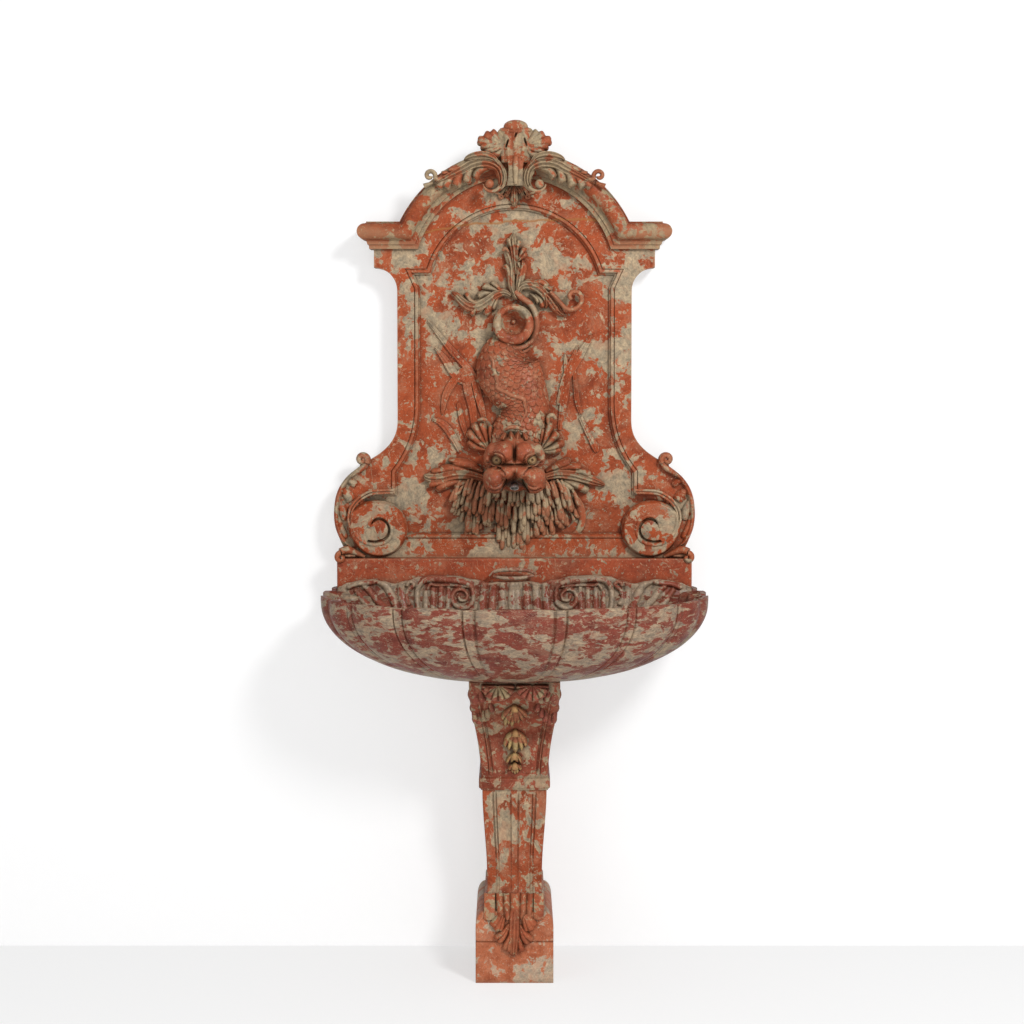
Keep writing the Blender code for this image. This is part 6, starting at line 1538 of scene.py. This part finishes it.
# Ears and wings. Small leafy ears curl up beside the brows and a fan of acanthus blades spreads
# from each corner of the jaw, all cut from the panel's block.
fin_piece("ear_leaf_left", "fin_left", (), (
    ((-64, 1222), (-88, 1227), (-112, 1242), 9), ((-64, 1224), (-87, 1242), (-111, 1268), 10.5),
    ((-64, 1227), (-81, 1254), (-97.5, 1286.5), 10.5), ((-64, 1230), (-70, 1260), (-81, 1290), 10),
    ((-56, 1235), (-58, 1260), (-57, 1282), 7.5),
), (((-86, 76, 1293.5, 3), (-76, 80, 1296.5, 4.8), (-66, 76, 1293.5, 3)),), 0.030)
fin_piece("ear_leaf_right", "fin_right", (), (
    ((64, 1218), (88, 1218), (113, 1225), 8), ((64, 1220), (90, 1227), (118, 1242), 10.5),
    ((64, 1223), (84, 1242), (102, 1265), 10), ((64, 1226), (76, 1256), (85, 1290), 10.5),
    ((60, 1230), (64, 1255), (68, 1276), 7.5),
), (((80, 74, 1286, 3.5), (80, 80, 1301, 4.8), (90, 82, 1306, 5.2), (97, 78, 1298, 4.2)),), 0.030)
fin_piece("wing_acanthus_left", "wing_leaf_left", (
    ((-70, 1153, 10), (-103, 1162, 14), (-140, 1164, 16), (-178, 1156, 16.5), (-203, 1156, 12),
        (-216, 1161, 3)),
), (
    ((-76, 1170), (-108.5, 1187), (-149, 1193), 12), ((-90, 1176), (-125, 1190), (-157.5, 1199.5), 7),
    ((-100, 1170), (-145, 1179), (-178, 1175), 10), ((-145, 1172), (-175, 1173), (-199, 1170), 7),
    ((-120, 1148), (-155, 1142), (-188, 1129), 11), ((-150, 1148), (-185, 1142), (-206, 1139), 9.5),
    ((-88, 1148), (-120, 1143), (-145, 1133.5), 9.5), ((-88, 1144), (-112, 1137), (-128, 1129), 7.5),
))
fin_piece("wing_acanthus_right", "wing_leaf_right", (
    ((70, 1156, 10), (103, 1164, 14), (138, 1162, 15.5), (170, 1153, 14), (198, 1144, 9.5),
        (216, 1137.5, 3)),
), (
    ((76, 1170), (106, 1186), (135, 1194.5), 11.5), ((100, 1174), (132, 1182), (159, 1181), 9.5),
    ((130, 1170), (158, 1170), (182, 1162), 8.5), ((120, 1148), (145, 1139), (177, 1123.5), 10),
    ((88, 1148), (118, 1140), (143, 1126), 9.5), ((86, 1144), (102, 1138), (113, 1130), 7.5),
))


# Beard. Water weed hangs under the jaw in overlapping tiers of short tapered strands, longest
# in the middle, where it reaches over the frame's lower moulding.
def hanging(x, top, long, wide, depth, sway):
    """Rows of one wet strand: thin at its root, fullest low down, with a round end."""
    low = top - long
    return threaded([
        (x - sway, depth - 0.006, top, wide * 0.55),
        (x - 0.4 * sway, depth - 0.001, top - 0.35 * long, wide * 0.85),
        (x, depth, top - 0.75 * long, wide),
        (x + 0.2 * sway, depth - 0.001, low + 0.10 * long, wide * 0.85),
        (x + 0.2 * sway, depth - 0.003, low, wide * 0.30),
    ], 4)


def weed_foot(x):
    """The lowest a strand may hang, along the beard: a long middle and two ragged sides."""
    return smooth_between(mm((
        (-143, 1066), (-128, 1060), (-122, 1018), (-86, 1016), (-78, 1042), (-50, 1038), (-44, 1010),
        (-34, 972), (30, 971.5), (40, 1008), (52, 1012), (60, 1024), (76, 1012), (90, 1013), (98, 1038),
        (120, 1030), (128, 1040), (146, 1052), (158, 1075),
    )), x)


def weed_head(x):
    return smooth_between(mm((
        (-150, 1126), (-120, 1137), (-70, 1136), (0, 1138), (70, 1136), (120, 1137), (150, 1126),
    )), x)


beard = bmesh.new()
for tier in range(9):
    for n in range(30):
        seed = Vector((n * 3.71, tier * 5.13, 0.5))
        first, second, third = (noise.noise(seed + Vector((0, 0, k * 9.7))) for k in range(3))
        x = -0.150 + 0.0102 * (n + 0.5 * (tier % 2)) + 0.0085 * first
        top = weed_head(x) + 0.010 - 0.0215 * tier + 0.022 * second
        long = 0.040 + 0.050 * third
        foot = weed_foot(x) + 0.020 * max(0.0, first)
        if top - 0.016 < foot or long < 0.016:
            continue
        long = min(long, top - foot)
        edge = (abs(x) / 0.150) ** 2
        depth = 0.0865 - 0.0048 * tier - 0.014 * edge + 0.0070 * first
        sway = 0.010 * x / 0.150 * (1.4 - 0.25 * tier) + 0.005 * second
        rod(beard, hanging(x, top, long, 0.0054 + 0.0026 * third, max(depth, 0.0560), sway), sides=10)
boss = mm((
    (119, 52, 1120, 4), (140, 54, 1108, 10), (156, 54, 1084, 12), (163, 53, 1056, 9), (156, 53, 1032, 8),
    (142, 52, 1019, 4),
))
rod(beard, threaded(boss, 8), sides=16, flat=0.55)
carved("weed_beard", beard, fin_stone, "carved_marble", "beard")


# Metal and rubber. What holds and plumbs the stones keeps its own shape: steel dowels and
# cramps, a turned brass waste with its standpipe and nuts, grey pipes and a rubber washer.
def worn_metal(name, dark, bright, metallic, roughness, scale, streak=(1.0, 1.0, 1.0)):
    """Cast or drawn metal, or rubber, with tarnish blotches, fine scratches and dull patches."""
    material, tree, shader = new_material(name)
    where = wired(tree, "ShaderNodeMapping", {"Vector": spot_on(tree), "Scale": streak}).outputs[0]
    blotch = {"Vector": where, "Scale": scale, "Detail": 6.0, "Roughness": 0.65}
    blotch = wired(tree, "ShaderNodeTexNoise", blotch).outputs["Fac"]
    fine = {"Vector": where, "Scale": 14 * scale, "Detail": 3.0}
    fine = wired(tree, "ShaderNodeTexNoise", fine).outputs["Fac"]
    colour = stops(tree, blotch, (0.36, dark), (0.62, bright))
    colour = blended(tree, 0.5, colour, stops(tree, fine, (0.3, 0.75), (0.65, 1.1)), "MULTIPLY")
    # Crevices are darkened by occlusion: painted shade.
    hollow = wired(tree, "ShaderNodeAmbientOcclusion", {"Distance": 0.01}, samples=4).outputs["AO"]
    hollow = stops(tree, hollow, (0.3, 0.6), (0.9, 0.0))
    colour = blended(tree, hollow, colour, tuple(0.35 * c for c in dark))
    tree.links.new(colour, shader.inputs["Base Color"])
    shine = stops(tree, fine, (0.3, roughness - 0.10), (0.7, roughness + 0.12))
    tree.links.new(shine, shader.inputs["Roughness"])
    shader.inputs["Metallic"].default_value = metallic
    bump = wired(tree, "ShaderNodeBump", {"Height": fine, "Strength": 0.35, "Distance": 0.0004})
    tree.links.new(bump.outputs[0], shader.inputs["Normal"])
    return material


steel = worn_metal("dowel_steel", (0.21, 0.17, 0.14), (0.46, 0.45, 0.44), 1.0, 0.42, 60.0, (1.0, 1.0, 0.2))
brass = worn_metal("waste_brass", (0.30, 0.17, 0.055), (0.62, 0.43, 0.16), 1.0, 0.34, 45.0, (1.0, 1.0, 0.3))
grey_pipe = worn_metal("pipe_grey", (0.16, 0.155, 0.15), (0.34, 0.335, 0.33), 0.6, 0.52, 38.0)
rubber = worn_metal("washer_rubber", (0.018, 0.017, 0.016), (0.035, 0.034, 0.033), 0.0, 0.72, 120.0)
for finish, names in (
    (steel, (
        "base_dowel", "shaft_dowel", "basin_dowel_left", "basin_dowel_right", "cornice_dowel",
        "head_dowel", "panel_cramp_left", "panel_cramp_right", "panel_dowel_left", "panel_dowel_right",
    )),
    (brass, ("waste_flange", "waste_locknut", "overflow_standpipe", "supply_union_nut")),
    (grey_pipe, ("waste_pipe", "supply_pipe")),
    (rubber, ("waste_washer",)),
):
    for node in names:
        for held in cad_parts[node].material_slots:
            held.material = finish


# Backdrop. A white wall close behind the fountain and a white floor, swept together, which
# catch the soft shadow of the studio lamp.
SKY_LIGHT = 0.48


def studio_white():
    """White that half glows for the camera, so the lamp's shadows on it stay pale.

    The wall's back is clear, and all but the camera's rays pass the wall, so that the fountain's
    back can be seen and gets light.
    """
    material, tree, shader = new_material("studio_white")
    shader.inputs["Base Color"].default_value = (0.95, 0.95, 0.95, 1.0)
    shader.inputs["Roughness"].default_value = 0.9
    seen = wired(tree, "ShaderNodeLightPath", {}).outputs["Is Camera Ray"]
    glow = wired(tree, "ShaderNodeEmission", {"Color": (1.0, 1.0, 1.0, 1.0), "Strength": 1.0})
    surface = wired(tree, "ShaderNodeNewGeometry", {})
    where = wired(tree, "ShaderNodeSeparateXYZ", {"Vector": surface.outputs["Position"]})
    on_wall = counted(tree, "GREATER_THAN", where.outputs["Y"], WALL + 0.0055)
    passing = times(tree, on_wall, counted(tree, "SUBTRACT", 1.0, seen))
    facing = counted(tree, "MAXIMUM", surface.outputs["Backfacing"], passing)
    clear = wired(tree, "ShaderNodeBsdfTransparent", {})
    white = {0: times(tree, seen, 0.55), 1: shader.outputs[0], 2: glow.outputs[0]}
    white = wired(tree, "ShaderNodeMixShader", white).outputs[0]
    whole = wired(tree, "ShaderNodeMixShader", {0: facing, 1: white, 2: clear.outputs[0]})
    tree.links.new(whole.outputs[0], tree.nodes["Material Output"].inputs["Surface"])
    return material


def sweep_spot(i, j):
    """Rows run along the floor to the wall, 6 mm behind the fountain, and then up it."""
    back, up = (0.256, 5.0 * (j - 12) / 12) if j > 12 else (-7.0 + 7.256 * j / 12, 0.0)
    return Vector((8.0 * (2 * i - 1), back, up))


sweep = bmesh.new()
skin(sweep, 1, 24, sweep_spot)
sweep_mesh = bpy.data.meshes.new("studio_sweep")
bmesh.ops.recalc_face_normals(sweep, faces=sweep.faces)
if sum(f.normal.y - f.normal.z for f in sweep.faces) > 0:
    bmesh.ops.reverse_faces(sweep, faces=sweep.faces)
sweep.to_mesh(sweep_mesh)
sweep.free()
sweep_mesh.materials.append(studio_white())
studio_sweep = bpy.data.objects.new("studio_sweep", sweep_mesh)
bpy.context.scene.collection.objects.link(studio_sweep)

scene = bpy.context.scene
scene.view_settings.view_transform = "Standard"
world = bpy.data.worlds.new("studio")
scene.world = world
world.use_nodes = True
sky = world.node_tree.nodes["Background"]
sky.inputs["Color"].default_value = (1.0, 1.0, 1.0, 1.0)
sky_seen = wired(world.node_tree, "ShaderNodeLightPath", {}).outputs["Is Camera Ray"]
sky_seen = times(world.node_tree, sky_seen, 1.0 - SKY_LIGHT)
world.node_tree.links.new(counted(world.node_tree, "ADD", sky_seen, SKY_LIGHT), sky.inputs["Strength"])


def lamp(name, power, size, spot, aim):
    """A round studio lamp at a spot, turned to what it is aimed at."""
    data = bpy.data.lights.new(name, "AREA")
    data.energy = power
    data.shape = "DISK"
    data.size = size
    holder = bpy.data.objects.new(name, data)
    holder.location = spot
    holder.rotation_mode = "QUATERNION"
    holder.rotation_quaternion = (Vector(aim) - Vector(spot)).to_track_quat("-Z", "Y")
    scene.collection.objects.link(holder)


lamp("key_lamp", 140.0, 0.9, (2.0, -3.3, 3.5), (0.0, 0.1, 1.1))
lamp("fill_lamp", 26.0, 2.5, (-2.8, -3.2, 1.4), (0.0, 0.1, 1.0))
lamp("low_lamp", 14.0, 1.5, (0.6, -4.2, 0.7), (0.0, 0.0, 0.5))

view_camera = bpy.data.cameras.new("view_camera")
view_camera.sensor_width = 36.0
view_camera.lens = 72.74
view_camera.shift_y = -0.04
camera = bpy.data.objects.new("view_camera", view_camera)
camera.location = (-0.0058, WALL - 5.0, 1.4575)
camera.rotation_euler = (math.radians(90 - 3.313), 0.0, 0.0)
scene.collection.objects.link(camera)
scene.camera = camera
